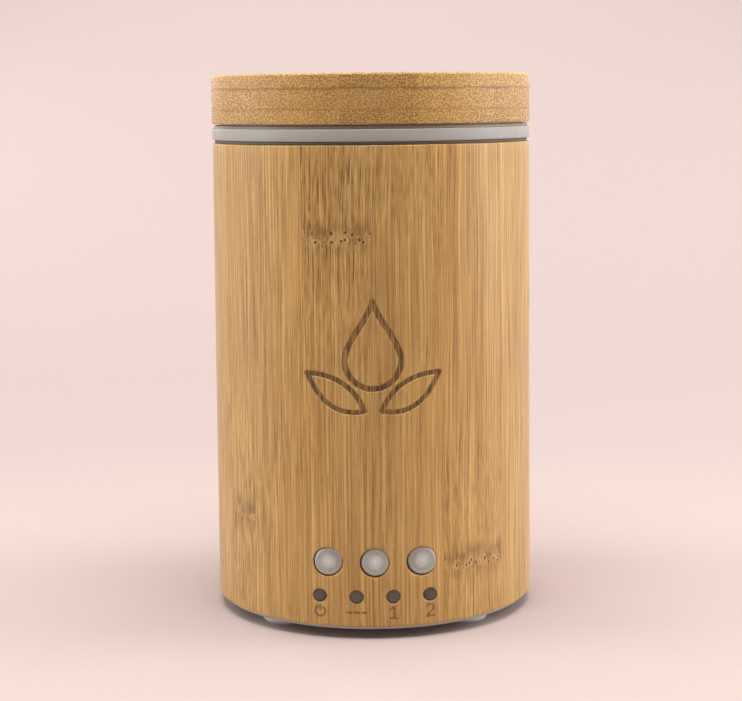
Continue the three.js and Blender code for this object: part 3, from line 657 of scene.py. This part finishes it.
def board_look():
    k = Look("circuit_board", IOR=1.5, Coat_Weight=0.25)
    x, y, z = k.xyz(k.p)
    # copper tracks under the solder mask: bent stripes, with tinned pads
    cell = k.cells(k.p, 0.45, "F1", "Distance")
    stripe = k.m("ABSOLUTE", k.sub(k.m("FRACT", k.mul(k.add(x, k.mul(k.m("FLOOR", k.mul(k.add(y, z), 0.22)), 0.7)), 0.55)), 0.5))
    track = k.step(stripe, 0.30, 0.34)
    pad = k.step(cell, 0.16, 0.12)
    fine = k.noise(k.p, 2.0, 2.0)
    colour = k.mix(k.mul(track, 0.45), lin(22, 84, 52), lin(48, 124, 76))
    colour = k.mix(k.mul(pad, 0.85), colour, lin(196, 190, 176))
    ro = k.add(0.28, k.mul(fine, 0.14))
    return k.set(Base_Color=colour, Roughness=ro, Metallic=k.mul(pad, 0.8), Normal=k.bump(k.add(track, k.mul(pad, 2.0)), 0.03, 0.5))


def disc_look():
    k = Look("ceramic_disc")
    x, y, z = k.xyz(k.p)
    r = k.m("SQRT", k.add(k.mul(x, x), k.mul(y, y)))
    fine = k.noise(k.p, 2.2, 3.0)
    rings = k.m("SINE", k.mul(r, 22.0))
    silver = k.step(r, 7.1, 6.9)
    colour = k.mix(silver, lin(206, 176, 118), lin(206, 204, 200))
    colour = k.mix(k.mul(k.step(fine, 0.5, 0.8), 0.3), colour, lin(150, 138, 118))
    ro = k.add(0.24, k.mul(fine, 0.2))
    return k.set(Base_Color=colour, Roughness=ro, Metallic=k.mul(silver, 0.95), Normal=k.bump(k.add(k.mul(rings, 0.3), fine), 0.005, 0.5))


def coil_look():
    k = Look("copper_coil", Metallic=0.85)
    x, y, z = k.xyz(k.p)
    turn = k.m("SINE", k.mul(z, 14.0))
    fine = k.noise(k.p, 1.4, 2.0)
    colour = k.mix(k.step(turn, -0.9, 0.5), lin(92, 44, 20), lin(190, 104, 56))
    colour = k.mix(k.mul(fine, 0.3), colour, lin(150, 74, 36))
    return k.set(Base_Color=colour, Roughness=k.add(0.26, k.mul(fine, 0.14)), Normal=k.bump(turn, 0.08, 0.8))


circuit = board_look()
disc_metal = disc_look()
coil = coil_look()


def dress(o, mat, body, replaces=None):
    o.data.materials.clear()
    o.data.materials.append(mat)
    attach(o, body)
    if replaces:
        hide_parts(replaces)
    return o


# ------------------------------------------------------------------ bamboo body


def bezier(p0, p1, p2, p3, n=24):
    t = np.linspace(0, 1, n)[:, None]
    p0, p1, p2, p3 = map(np.array, (p0, p1, p2, p3))
    return (1 - t) ** 3 * p0 + 3 * (1 - t) ** 2 * t * p1 + 3 * (1 - t) * t**2 * p2 + t**3 * p3


def arc(cx, cy, r, a0, a1, n=32):
    t = np.radians(np.linspace(a0, a1, n))
    return np.stack([cx + r * np.cos(t), cy + r * np.sin(t)], 1)


def drop_line():
    h, top, c = 7.45, 14.5, -1.1
    right = bezier((0, top), (0.16 * h, top - 0.3 * (top - c)), (h, c + 0.62 * h), (h, c))
    return np.concatenate([right, arc(0, c, h, 0, -180, 48), right[::-1] * (-1, 1)])


def leaf_line(side):
    root, tip = np.array([side * 2.3, -14.5]), np.array([side * 17.5, -4.5])
    low, high = np.array([side * 12.7, -16.5]), np.array([side * 6.25, -4.7])
    t = np.linspace(0, 1, 32)[:, None]
    a = (1 - t) ** 2 * root + 2 * (1 - t) * t * low + t**2 * tip
    b = (1 - t) ** 2 * tip + 2 * (1 - t) * t * high + t**2 * root
    return np.concatenate([a, b])


def distance(points, line):
    """Distance from each point to a polyline."""
    best = np.full(len(points), 1e9)
    for a, b in zip(line[:-1], line[1:]):
        d = b - a
        n = d @ d
        if n < 1e-12:
            continue
        t = np.clip(((points - a) @ d) / n, 0, 1)
        best = np.minimum(best, np.linalg.norm(points - a - t[:, None] * d, axis=1))
    return best


MARK_Z = 76.0
STROKES = [(drop_line(), 0.92), (leaf_line(1), 0.80), (leaf_line(-1), 0.80)]
WALL = 0.26  # width of the cut's steep side
# small burnt signs under the indicators: power, interval, one hour, two hours
GLYPHS = [
    [arc(0, 0, 1.35, 125, 415, 28), np.array([(0, 0.5), (0, 1.75)])],
    [np.array([(-2.5, 0), (-1.35, 0)]), np.array([(-0.55, 0), (0.55, 0)]), np.array([(1.35, 0), (2.5, 0)])],
    [np.array([(-0.75, 0.85), (0.15, 1.55), (0.15, -1.6)]), np.array([(-0.7, -1.6), (1.0, -1.6)])],
    [
        np.concatenate([arc(0, 0.65, 0.98, 160, -28, 18), np.array([(-0.98, -1.6), (1.08, -1.6)])]),
    ],
]


def shell_mesh():
    arc_mm = np.radians(1) * R
    fine = 0.19 / arc_mm  # degrees
    half = 25.2
    th = list(np.arange(-half, half + 1e-6, fine))
    th += list(np.linspace(half, 360 - half, 140)[1:-1])
    th = np.radians(np.array(th))
    edge = 0.45

    def grid(a, b, d):
        return list(np.arange(a, b - 1e-6, d))

    zs = grid(Z0 + edge, 5.3, 0.35) + grid(5.3, 9.2, 0.16) + grid(9.2, 26.4, 0.36) + grid(26.4, 60.0, 3.0)
    zs += grid(60.0, 92.5, 0.21) + grid(92.5, Z1 - edge, 3.0) + [Z1 - edge]
    zs = np.array(zs)
    nt, nz = len(th), len(zs)
    T, Z = np.meshgrid(th, zs)
    X = R * np.sin(T)
    front = np.abs(np.where(T > np.pi, T - 2 * np.pi, T)) < math.radians(60)
    depth = np.zeros_like(X)
    groove = np.zeros_like(X)
    burn = np.zeros_like(X)
    flat = np.stack([X.ravel(), Z.ravel()], 1)

    zone = (front & (np.abs(X) < 20) & (Z > 58) & (Z < 94)).ravel()
    pts = flat[zone] - (0, MARK_Z)
    g = np.zeros(len(pts))
    for line, w in STROKES:
        s = np.clip((w - distance(pts, line)) / WALL, 0, 1)
        g = np.maximum(g, s * s * (3 - 2 * s))
    groove.ravel()[zone] = g
    depth.ravel()[zone] = 0.6 * g

    zone = (front & (np.abs(X) < 19) & (Z > 5) & (Z < 9.5)).ravel()
    pts = flat[zone]
    b = np.zeros(len(pts))
    for (cx, _, _), glyph in zip(WINDOWS, GLYPHS):
        for line in glyph:
            s = np.clip((0.36 - distance(pts - (cx, 7.25), line)) / 0.14, 0, 1)
            b = np.maximum(b, s)
    burn.ravel()[zone] = b
    depth.ravel()[zone] += 0.10 * b

    def lip(cx, cz, r, w, d):
        q = np.hypot(X - cx, Z - cz)
        s = np.clip(1 - (q - r) / w, 0, 1)
        return np.where(front, d * s * s, 0)

    for cx in HOLE_X:
        depth = np.maximum(depth, lip(cx, HOLE_Z, HOLE_R, 0.40, 0.18))
    for cx, _, _ in WINDOWS:
        depth = np.maximum(depth, lip(cx, LED_Z, LED_HOLE_R, 0.3, 0.10))

    rad = R - depth
    rows = []  # (radius array or number, z, groove, burn)
    bow = [(edge * (1 - math.cos(a)), edge * (1 - math.sin(a))) for a in np.radians([75, 50, 25])]
    bore = 40.5
    rows.append((np.full(nt, bore), Z0))
    rows.append((np.full(nt, R - edge), Z0))
    for i, o in bow:
        rows.append((np.full(nt, R - i), Z0 + o))
    for j in range(nz):
        rows.append((rad[j], zs[j]))
    for i, o in reversed(bow):
        rows.append((np.full(nt, R - i), Z1 - o))
    rows.append((np.full(nt, R - edge), Z1))
    rows.append((np.full(nt, bore + 0.3), Z1))
    rows.append((np.full(nt, bore), Z1 - 0.3))
    rr = np.stack([r for r, _ in rows])
    zz = np.array([z for _, z in rows])[:, None] * np.ones((1, nt))
    gg = np.zeros_like(rr)
    bb = np.zeros_like(rr)
    gg[5 : 5 + nz] = groove
    bb[5 : 5 + nz] = burn
    co = np.stack([rr * np.sin(th), -rr * np.cos(th), zz], -1).reshape(-1, 3) * MM
    n = len(rows)
    i = np.arange(n)[:, None]
    k = np.arange(nt)[None, :]
    i2, k2 = (i + 1) % n, (k + 1) % nt
    quads = np.stack([i * nt + k, i * nt + k2, i2 * nt + k2, i2 * nt + k], -1).reshape(-1, 4)
    me = bpy.data.meshes.new("bamboo_body")
    me.vertices.add(len(co))
    me.vertices.foreach_set("co", co.ravel())
    me.loops.add(quads.size)
    me.loops.foreach_set("vertex_index", quads.ravel().astype(np.int32))
    me.polygons.add(len(quads))
    me.polygons.foreach_set("loop_start", (np.arange(len(quads)) * 4).astype(np.int32))
    me.update(calc_edges=True)
    for name, data in (("groove", gg), ("burn", bb)):
        me.attributes.new(name, "FLOAT", "POINT").data.foreach_set("value", data.ravel().astype(np.float32))
    o = bpy.data.objects.new("bamboo_body", me)
    bpy.context.scene.collection.objects.link(o)
    outward(o)
    return o


body = shell_mesh()
cutters = [forward_cylinder("c", HOLE_R, 30, 60, x, HOLE_Z, 96) for x in HOLE_X]
cutters += [forward_cylinder("c", LED_HOLE_R, 30, 60, w[0], LED_Z, 64) for w in WINDOWS]
cutters += [forward_cylinder("c", 5.5, -60, -34, 0, JACK_Z, 96)]
cutter = merged(cutters, "cutter")
body = boolean(body, [cutter], angle=40)
dress(body, wood_body, "base", "bamboo_shell")

# ------------------------------------------------------------------ lid
lid = lathe(
    "lid_bamboo",
    rounded(
        [
            (42.9, LID_Z0, 0.2),
            (LID_R, LID_Z0, 0.55),
            (LID_R, LID_Z1, 0.75),
            (8.9, LID_Z1, 0.7),
            (8.9, 145.5, 0.1),
            (38.2, 145.5, 0.3),
            (38.2, 138.2, 0.2),
            (42.9, 138.2, 0.1),
        ],
        5,
    ),
    256,
)
dress(lid, wood_lid, "lid", "bamboo_lid")

cover = lathe(
    "lid_cover",
    rounded(
        [
            (34.9, 131.7, 0.3),
            (36.7, 131.7, 0.5),
            (36.7, 136.3, 0.3),
            (42.5, 136.3, 0.4),
            (42.5, 138.0, 0.3),
            (37.6, 138.0, 0.4),
            (37.3, 145.1, 1.2),
            (8.5, 145.1, 0.5),
            (8.5, 150.2, 0.45),
            (7.1, 150.2, 0.45),
            (7.1, 132.4, 0.45),
            (8.5, 132.4, 0.45),
            (8.5, 143.5, 1.0),
            (34.9, 143.5, 1.2),
        ],
        4,
    ),
    192,
)
dress(cover, tank_plastic, "lid", "lid_inner_cover")

# ------------------------------------------------------------------ ring and seal
ring = lathe(
    "glow_ring",
    rounded(
        [
            (39.6, 134.3, 0.1),
            (42.6, 134.3, 0.1),
            (42.6, RING_Z0, 0.1),
            (RING_R, RING_Z0, 0.35),
            (RING_R, RING_Z0 + RING_H, 0.35),
            (RING_R - 0.6, RING_Z0 + RING_H, 0.1),
            (RING_R - 0.6, RING_Z1, 0.15),
            (43.2, RING_Z1, 0.15),
            (43.2, RING_Z0 + RING_H, 0.1),
            (39.6, RING_Z0 + RING_H, 0.2),
        ],
        4,
    ),
    256,
)
dress(ring, ring_plastic, "base", "light_ring")
# painted shade: the seal's dark colour stands in for the shadow in the gap under the ring
seal = lathe("body_seal", rounded([(40.8, Z1 + 0.05, 0.1), (44.3, Z1 + 0.05, 0.2), (44.3, RING_Z0 - 0.05, 0.2), (40.8, RING_Z0 - 0.05, 0.1)], 3), 256)
dress(seal, seal_rubber, "base", "shell_seal")

# ------------------------------------------------------------------ controls
CAP_R = 3.75
for side, (bx, by, bz) in zip(SIDES, BUTTONS):
    lo, hi = span("button_" + side)
    reach = hi[1] - lo[1]
    prof = [(0, 0), (4.55, 0), (4.6, 0.1), (4.6, 1.1), (4.5, 1.2), (CAP_R + 0.1, 1.2), (CAP_R, 1.35), (CAP_R, reach - 0.62)]
    for a in np.linspace(0.12, 1.0, 8):  # rounded shoulder
        prof.append((CAP_R - 0.42 * (1 - math.cos(a * math.pi / 2)), reach - 0.62 + 0.42 * math.sin(a * math.pi / 2)))
    # a shallow rim, then a low crown with a small pip in its middle
    prof += [(3.1, reach - 0.2), (2.9, reach - 0.27), (2.6, reach - 0.27), (2.3, reach - 0.2), (1.8, reach - 0.12), (1.2, reach - 0.07), (0.7, reach - 0.05)]
    prof += [(0.55, reach - 0.02), (0.3, reach), (0, reach)]
    b = lathe("push_button_" + side, prof, 80, (bx, hi[1], bz), "-Y", 40)
    dress(b, button_plastic, side + "_button", "button_" + side)

for i, (wx, wy, wz) in enumerate(WINDOWS, 1):
    lo, hi = span(f"led_window_{i}")
    reach = hi[1] - lo[1]
    prof = rounded(
        [(0, 0), (1.75, 0, 0.15), (1.75, 4.4, 0.1), (2.4, 4.4, 0.15), (2.4, 5.4, 0.15), (1.75, 5.4, 0.1), (1.75, reach, 0.12), (0, reach)],
        4,
        False,
    )
    w = lathe(f"indicator_{i}", prof, 48, (wx, hi[1], wz), "-Y")
    dress(w, smoked, "base", f"led_window_{i}")

# ------------------------------------------------------------------ tank
tank = lathe(
    "tank",
    rounded(
        [
            (7.5, 81.2, 0.2),
            (12.7, 81.2, 0.1),
            (12.7, 77.4, 0.2),
            (14.3, 77.4, 0.2),
            (14.3, 81.2, 0.3),
            (31.5, 81.2, 1.5),
            (35.2, 84.5, 2.0),
            (39.2, 120.0, 6.0),
            (39.2, RING_Z0, 0.2),
            (42.3, RING_Z0, 0.2),
            (42.3, 134.1, 0.2),
            (39.2, 134.1, 0.2),
            (39.2, 135.9, 0.6),
            (37.2, 135.9, 0.6),
            (37.2, 120.0, 6.0),
            (33.4, 85.8, 2.6),
            (10.0, 83.6, 1.4),
            (7.5, 82.6, 0.4),
        ],
        5,
    ),
    192,
)
DUCT_Y = 27.2
chimney = prism("c", rounded_rectangle(17, 10, 2.5, 0, DUCT_Y, 6), 76.0, 129.5, 0.5)
posts = [("p", 3.8, 77.5, -28.5, -12.5), ("p", 3.8, 77.5, 28.5, -12.5), ("p", 3.8, 77.5, -28.5, 12.5), ("p", 3.8, 77.5, 28.5, 12.5)]
posts += [("p", 2.6, 67.9, -18, -19), ("p", 2.6, 67.9, 18, 9), ("p", 2.3, 77.6, -15.9, 0), ("p", 2.3, 77.6, 15.9, 0)]
extra = [prism(n, circle(r, x, y, 32), z, 82.0, 0.25) for n, r, z, x, y in posts]
tank = boolean(tank, [chimney, merged(extra, "e")], "UNION")
holes = [prism("h", rounded_rectangle(13.4, 6.4, 1.6, 0, DUCT_Y, 6), 70, 140)]
holes += [prism("h", circle(1.5, x, y, 24), 70, 81.5) for _, _, _, x, y in posts[:4]]
holes += [prism("h", circle(1.1, x, y, 20), 60, 75.0) for _, _, _, x, y in posts[4:6]]
holes += [prism("h", circle(1.1, x, y, 20), 70, 81.0) for _, _, _, x, y in posts[6:8]]
tank = boolean(tank, [merged(holes, "h")])
dress(tank, tank_plastic, "base", "water_tank")

# ------------------------------------------------------------------ underside
base = lathe(
    "base",
    rounded(
        [
            (0, 2.5),
            (44.0, 2.5, 0.35),
            (44.0, 3.2, 0.12),
            (40.1, 3.2, 0.2),
            (40.1, 8.5, 0.3),
            (38.5, 8.5, 0.3),
            (38.5, 5.5, 0.4),
            (0, 5.5),
        ],
        4,
        False,
    ),
    192,
)
FAN_Y, FAN_HOLE, POST_X, POST_Y = 2.0, 14.5, 28.5, 12.5
post_places = [(sx * POST_X, sy * POST_Y) for sy in (-1, 1) for sx in (-1, 1)]
fan_places = [(-FAN_HOLE, FAN_Y - FAN_HOLE), (FAN_HOLE, FAN_Y + FAN_HOLE)]
extra = [prism("e", circle(4.4, x, y, 40), 5.0, 9.0, 0.3) for x, y in post_places]
extra += [prism("e", circle(2.8, x, y, 32), 5.0, 5.8, 0.1) for x, y in fan_places]
extra += [prism("e", rounded_rectangle(6, 7, 0.6, 0, 31.5), 5.0, 9.0, 0.2)]
extra += [prism("e", rounded_rectangle(1.8, 9, 0.3, s * 5.9, 31.5), 5.0, 15.0, 0.2) for s in (-1, 1)]
base = boolean(base, [merged(extra, "e")], "UNION")
uprights = []
for s in (-1, 1):
    uprights.append(prism("u", rounded_rectangle(3.4, 5.1, 0.3, s * 18.2, -26.45), 5.0, 14.5, 0.2))
base = boolean(base, [merged(uprights, "u")], "UNION")
holes = [prism("h", rounded_rectangle(6, 2.1, 0.05, s * 18.2, -26.5), 8.6, 20) for s in (-1, 1)]
for x in (-12.5, -7.5, -2.5, 2.5, 7.5, 12.5):
    half = math.sqrt(15.2**2 - x * x)
    holes.append(prism("h", rounded_rectangle(2.4, 2 * half, 1.15, x, FAN_Y, 6), 0, 8))
holes += [prism("h", circle(4.8, sx * 25, sy * 25, 64), 0, 4.1) for sx in (-1, 1) for sy in (-1, 1)]
base = boolean(base, [merged(holes, "h")])
holes = [prism("h", circle(1.75, x, y, 32), 0, 12) for x, y in post_places]
holes += [prism("h", circle(1.5, x, y, 32), 3.9, 8) for x, y in fan_places]
base = boolean(base, [merged(holes, "h")])
base = boolean(base, [merged([prism("h", circle(3.4, x, y, 48), 0, 5.3) for x, y in post_places], "h")])
dress(base, base_plastic, "base", "base_plate")

# the feet's pale colour is painted light, lifting them out of the shade under the body
for place, x, y in (("front_left", -25, -25), ("front_right", 25, -25), ("rear_left", -25, 25), ("rear_right", 25, 25)):
    prof = rounded([(0, 0.18), (3.4, 0.18, 0.1), (3.6, 0, 0.1), (5.35, 0, 0.5), (6.0, 0.9, 0.5), (6.0, 2.35, 0.12), (4.6, 2.35, 0.1), (4.6, 3.9, 0.2), (0, 3.9)], 4, False)
    f = lathe("pad_" + place, prof, 64, (x, y, 0))
    dress(f, foot_rubber, "base", "foot_" + place)


def screw(name, head_r, head_h, shank_r, length, place):
    """A pan-head screw with a cross recess, head down, its thread as fine ridges."""
    prof = [(0, 0), (head_r * 0.55, 0.02), (head_r * 0.78, head_h * 0.12), (head_r * 0.93, head_h * 0.36), (head_r, head_h * 0.66), (head_r, head_h * 0.98), (head_r * 0.97, head_h), (shank_r, head_h)]
    z = head_h + 0.4
    while z < head_h + length - 0.5:
        prof += [(shank_r * 0.84, z), (shank_r, z + 0.2)]
        z += 0.45
    prof += [(shank_r * 0.6, head_h + length), (0, head_h + length)]
    o = lathe(name, prof, 32, place)
    cross = []
    for w, d in ((head_r * 1.1, 0.62), (0.62, head_r * 1.1)):
        c = prism("c", rounded_rectangle(w, d, 0.12, place[0], place[1], 3), place[2] - 1, place[2] + head_h * 0.62)
        cross.append(c)
    return boolean(o, cross)


for i, (x, y) in enumerate(post_places, 1):
    dress(screw(f"case_screw_{i}", 3.0, 1.8, 1.3, 13.5, (x, y, 3.3)), steel, "base", f"base_screw_{i}")
for i, a in enumerate((90, 210, 330), 1):
    x, y = 24 * math.cos(math.radians(a)), 24 * math.sin(math.radians(a))
    dress(screw(f"cover_screw_{i}", 2.6, 1.4, 1.15, 5.2, (x, y, 141.9)), steel, "lid", f"lid_screw_{i}")

# ------------------------------------------------------------------ power inlet
jlo, jhi = span("dc_jack")
tip = -jhi[1]
jack = lathe("inlet", rounded([(2.9, tip + 15.0), (4.3, tip + 15.0, 0.2), (4.3, tip + 7.0, 0.1), (5.2, tip + 6.8, 0.2), (5.2, tip, 0.5), (2.9, tip, 0.35)], 4), 72)
jack.data.transform(FORWARD)
jack.data.transform(Matrix.Translation((0, 0, JACK_Z * MM)))
outward(jack)
housing = prism("c", rounded_rectangle(9.2, 13.1, 0.5, 0, 32.05), JACK_Z - 5.2, JACK_Z + 5.2, 0.3)
bore = forward_cylinder("c", 2.9, -50, -29.5, 0, JACK_Z, 64)
housing = boolean(housing, [bore])
pin = forward_cylinder("c", 1.0, -43.0, -28.0, 0, JACK_Z, 32)
jack = merged([jack, housing, pin], "power_inlet")
dress(jack, black_plastic, "base", "dc_jack")

# ------------------------------------------------------------------ atomiser disc
disc = lathe("disc", rounded([(0, 78.7), (10.0, 78.7, 0.2), (10.0, 80.0, 0.2), (0, 80.0)], 3, False), 96)
dress(disc, disc_metal, "base", "ceramic_disc")

# ------------------------------------------------------------------ everything inside keeps its CAD shape
INSIDE = {
    "white_plastic": white_plastic,
    "black_plastic": black_plastic,
    "screw_steel": steel,
    "circuit_board": circuit,
    "copper_coil": coil,
    "capacitor_sleeve": sleeve,
    "heatsink_aluminium": aluminium,
    "dark_wire": wire_dark,
    "light_wire": wire_light,
    "seal_rubber": seal_rubber,
}
slot_of = {s["node"]: s["material_slot"] for s in frame["record"]["subparts"]}
for name, o in nodes.items():
    mat = INSIDE.get(slot_of[name])
    if mat:
        o.data.materials.clear()
        o.data.materials.append(mat)
        o.data.polygons.foreach_set("material_index", [0] * len(o.data.polygons))

# ------------------------------------------------------------------ floor, light, camera
k = Look("studio_paper", Roughness=0.9)
k.bsdf.inputs["Specular IOR Level"].default_value = 0.1
fibre = k.noise(k.p, 0.35, 4.0, 0.6)
studio = k.set(Base_Color=k.mix(fibre, lin(185, 168, 163), lin(189, 172, 167)), Normal=k.bump(fibre, 0.05, 0.2))
sweep = []
for s in np.linspace(0, 1, 13):
    sweep.append((-1.6 + 2.0 * s, 0.0))
for a in np.radians(np.linspace(2, 90, 45)):
    sweep.append((0.4 + 1.05 * math.sin(a), 1.05 - 1.05 * math.cos(a)))
sweep.append((1.45, 2.4))
verts, faces = [], []
for y, z in sweep:
    verts += [(-2600, y * 1000, z * 1000), (2600, y * 1000, z * 1000)]
for i in range(len(sweep) - 1):
    faces.append((2 * i, 2 * i + 1, 2 * i + 3, 2 * i + 2))
paper = link("paper_sweep", verts, faces, 60)
paper.data.materials.append(studio)

world = bpy.data.worlds.new("studio")
bpy.context.scene.world = world
world.use_nodes = True
world.node_tree.nodes["Background"].inputs[0].default_value = lin(255, 250, 246)
world.node_tree.nodes["Background"].inputs[1].default_value = 0.08


def softbox(name, at, look, size, power, tint=(1, 1, 1)):
    d = bpy.data.lights.new(name, "AREA")
    d.shape = "RECTANGLE"
    d.size, d.size_y = size
    d.energy = power
    d.color = tint
    o = bpy.data.objects.new(name, d)
    bpy.context.scene.collection.objects.link(o)
    o.location = at
    o.rotation_mode = "QUATERNION"
    o.rotation_quaternion = (Vector(look) - Vector(at)).to_track_quat("-Z", "Y")
    return o


softbox("right_side", (0.70, 0.0, 0.25), (0, 0, 0.08), (0.35, 0.9), 5.3)
softbox("right_back", (0.60, 0.35, 0.25), (0, 0, 0.08), (0.35, 0.9), 0.6)
softbox("left_side", (-0.70, 0.0, 0.25), (0, 0, 0.08), (0.35, 0.9), 4.2)
softbox("top", (0.0, -0.10, 0.80), (0, 0, 0.07), (0.7, 0.6), 9.4)
softbox("left_rim", (-0.62, 0.80, 0.42), (0, 0, 0.08), (0.3, 0.5), 2.0)
softbox("right_rim", (0.62, 0.80, 0.42), (0, 0, 0.08), (0.3, 0.5), 1.3)
softbox("backdrop", (0.0, 0.45, 1.0), (0, 1.5, 0.75), (2.2, 0.6), 20.0)
softbox("front", (0.0, -1.30, 0.34), (0, 0, 0.07), (0.5, 0.4), 1.8)

cam = bpy.data.cameras.new("camera")
camera = bpy.data.objects.new("camera", cam)
bpy.context.scene.collection.objects.link(camera)
bpy.context.scene.camera = camera
PITCH, ROLL = 0.08958136550356248, -0.00927289760605964
cam.sensor_fit = "HORIZONTAL"
cam.sensor_width = 36.0
cam.lens = 1772.808860267674 * 36.0 / 742
cam.shift_x = (371.0 - 371.9178989917958) / 742
cam.shift_y = (260.0 - 350.5) / 742
cam.clip_start, cam.clip_end = 0.01, 20
right0, up0 = Vector((1, 0, 0)), Vector((0, math.sin(PITCH), math.cos(PITCH)))
back = -Vector((0, math.cos(PITCH), -math.sin(PITCH)))
right = right0 * math.cos(ROLL) + up0 * math.sin(ROLL)
up = up0 * math.cos(ROLL) - right0 * math.sin(ROLL)
place = Matrix((right, up, back)).transposed().to_4x4()
place.translation = Vector((0, -11.263176141722017 * 0.045, 3.114278727521294 * 0.045 + 0.003))
camera.matrix_world = place

view = bpy.context.scene.view_settings
view.view_transform = "Standard"
view.look = "None"

bpy.context.view_layer.update()
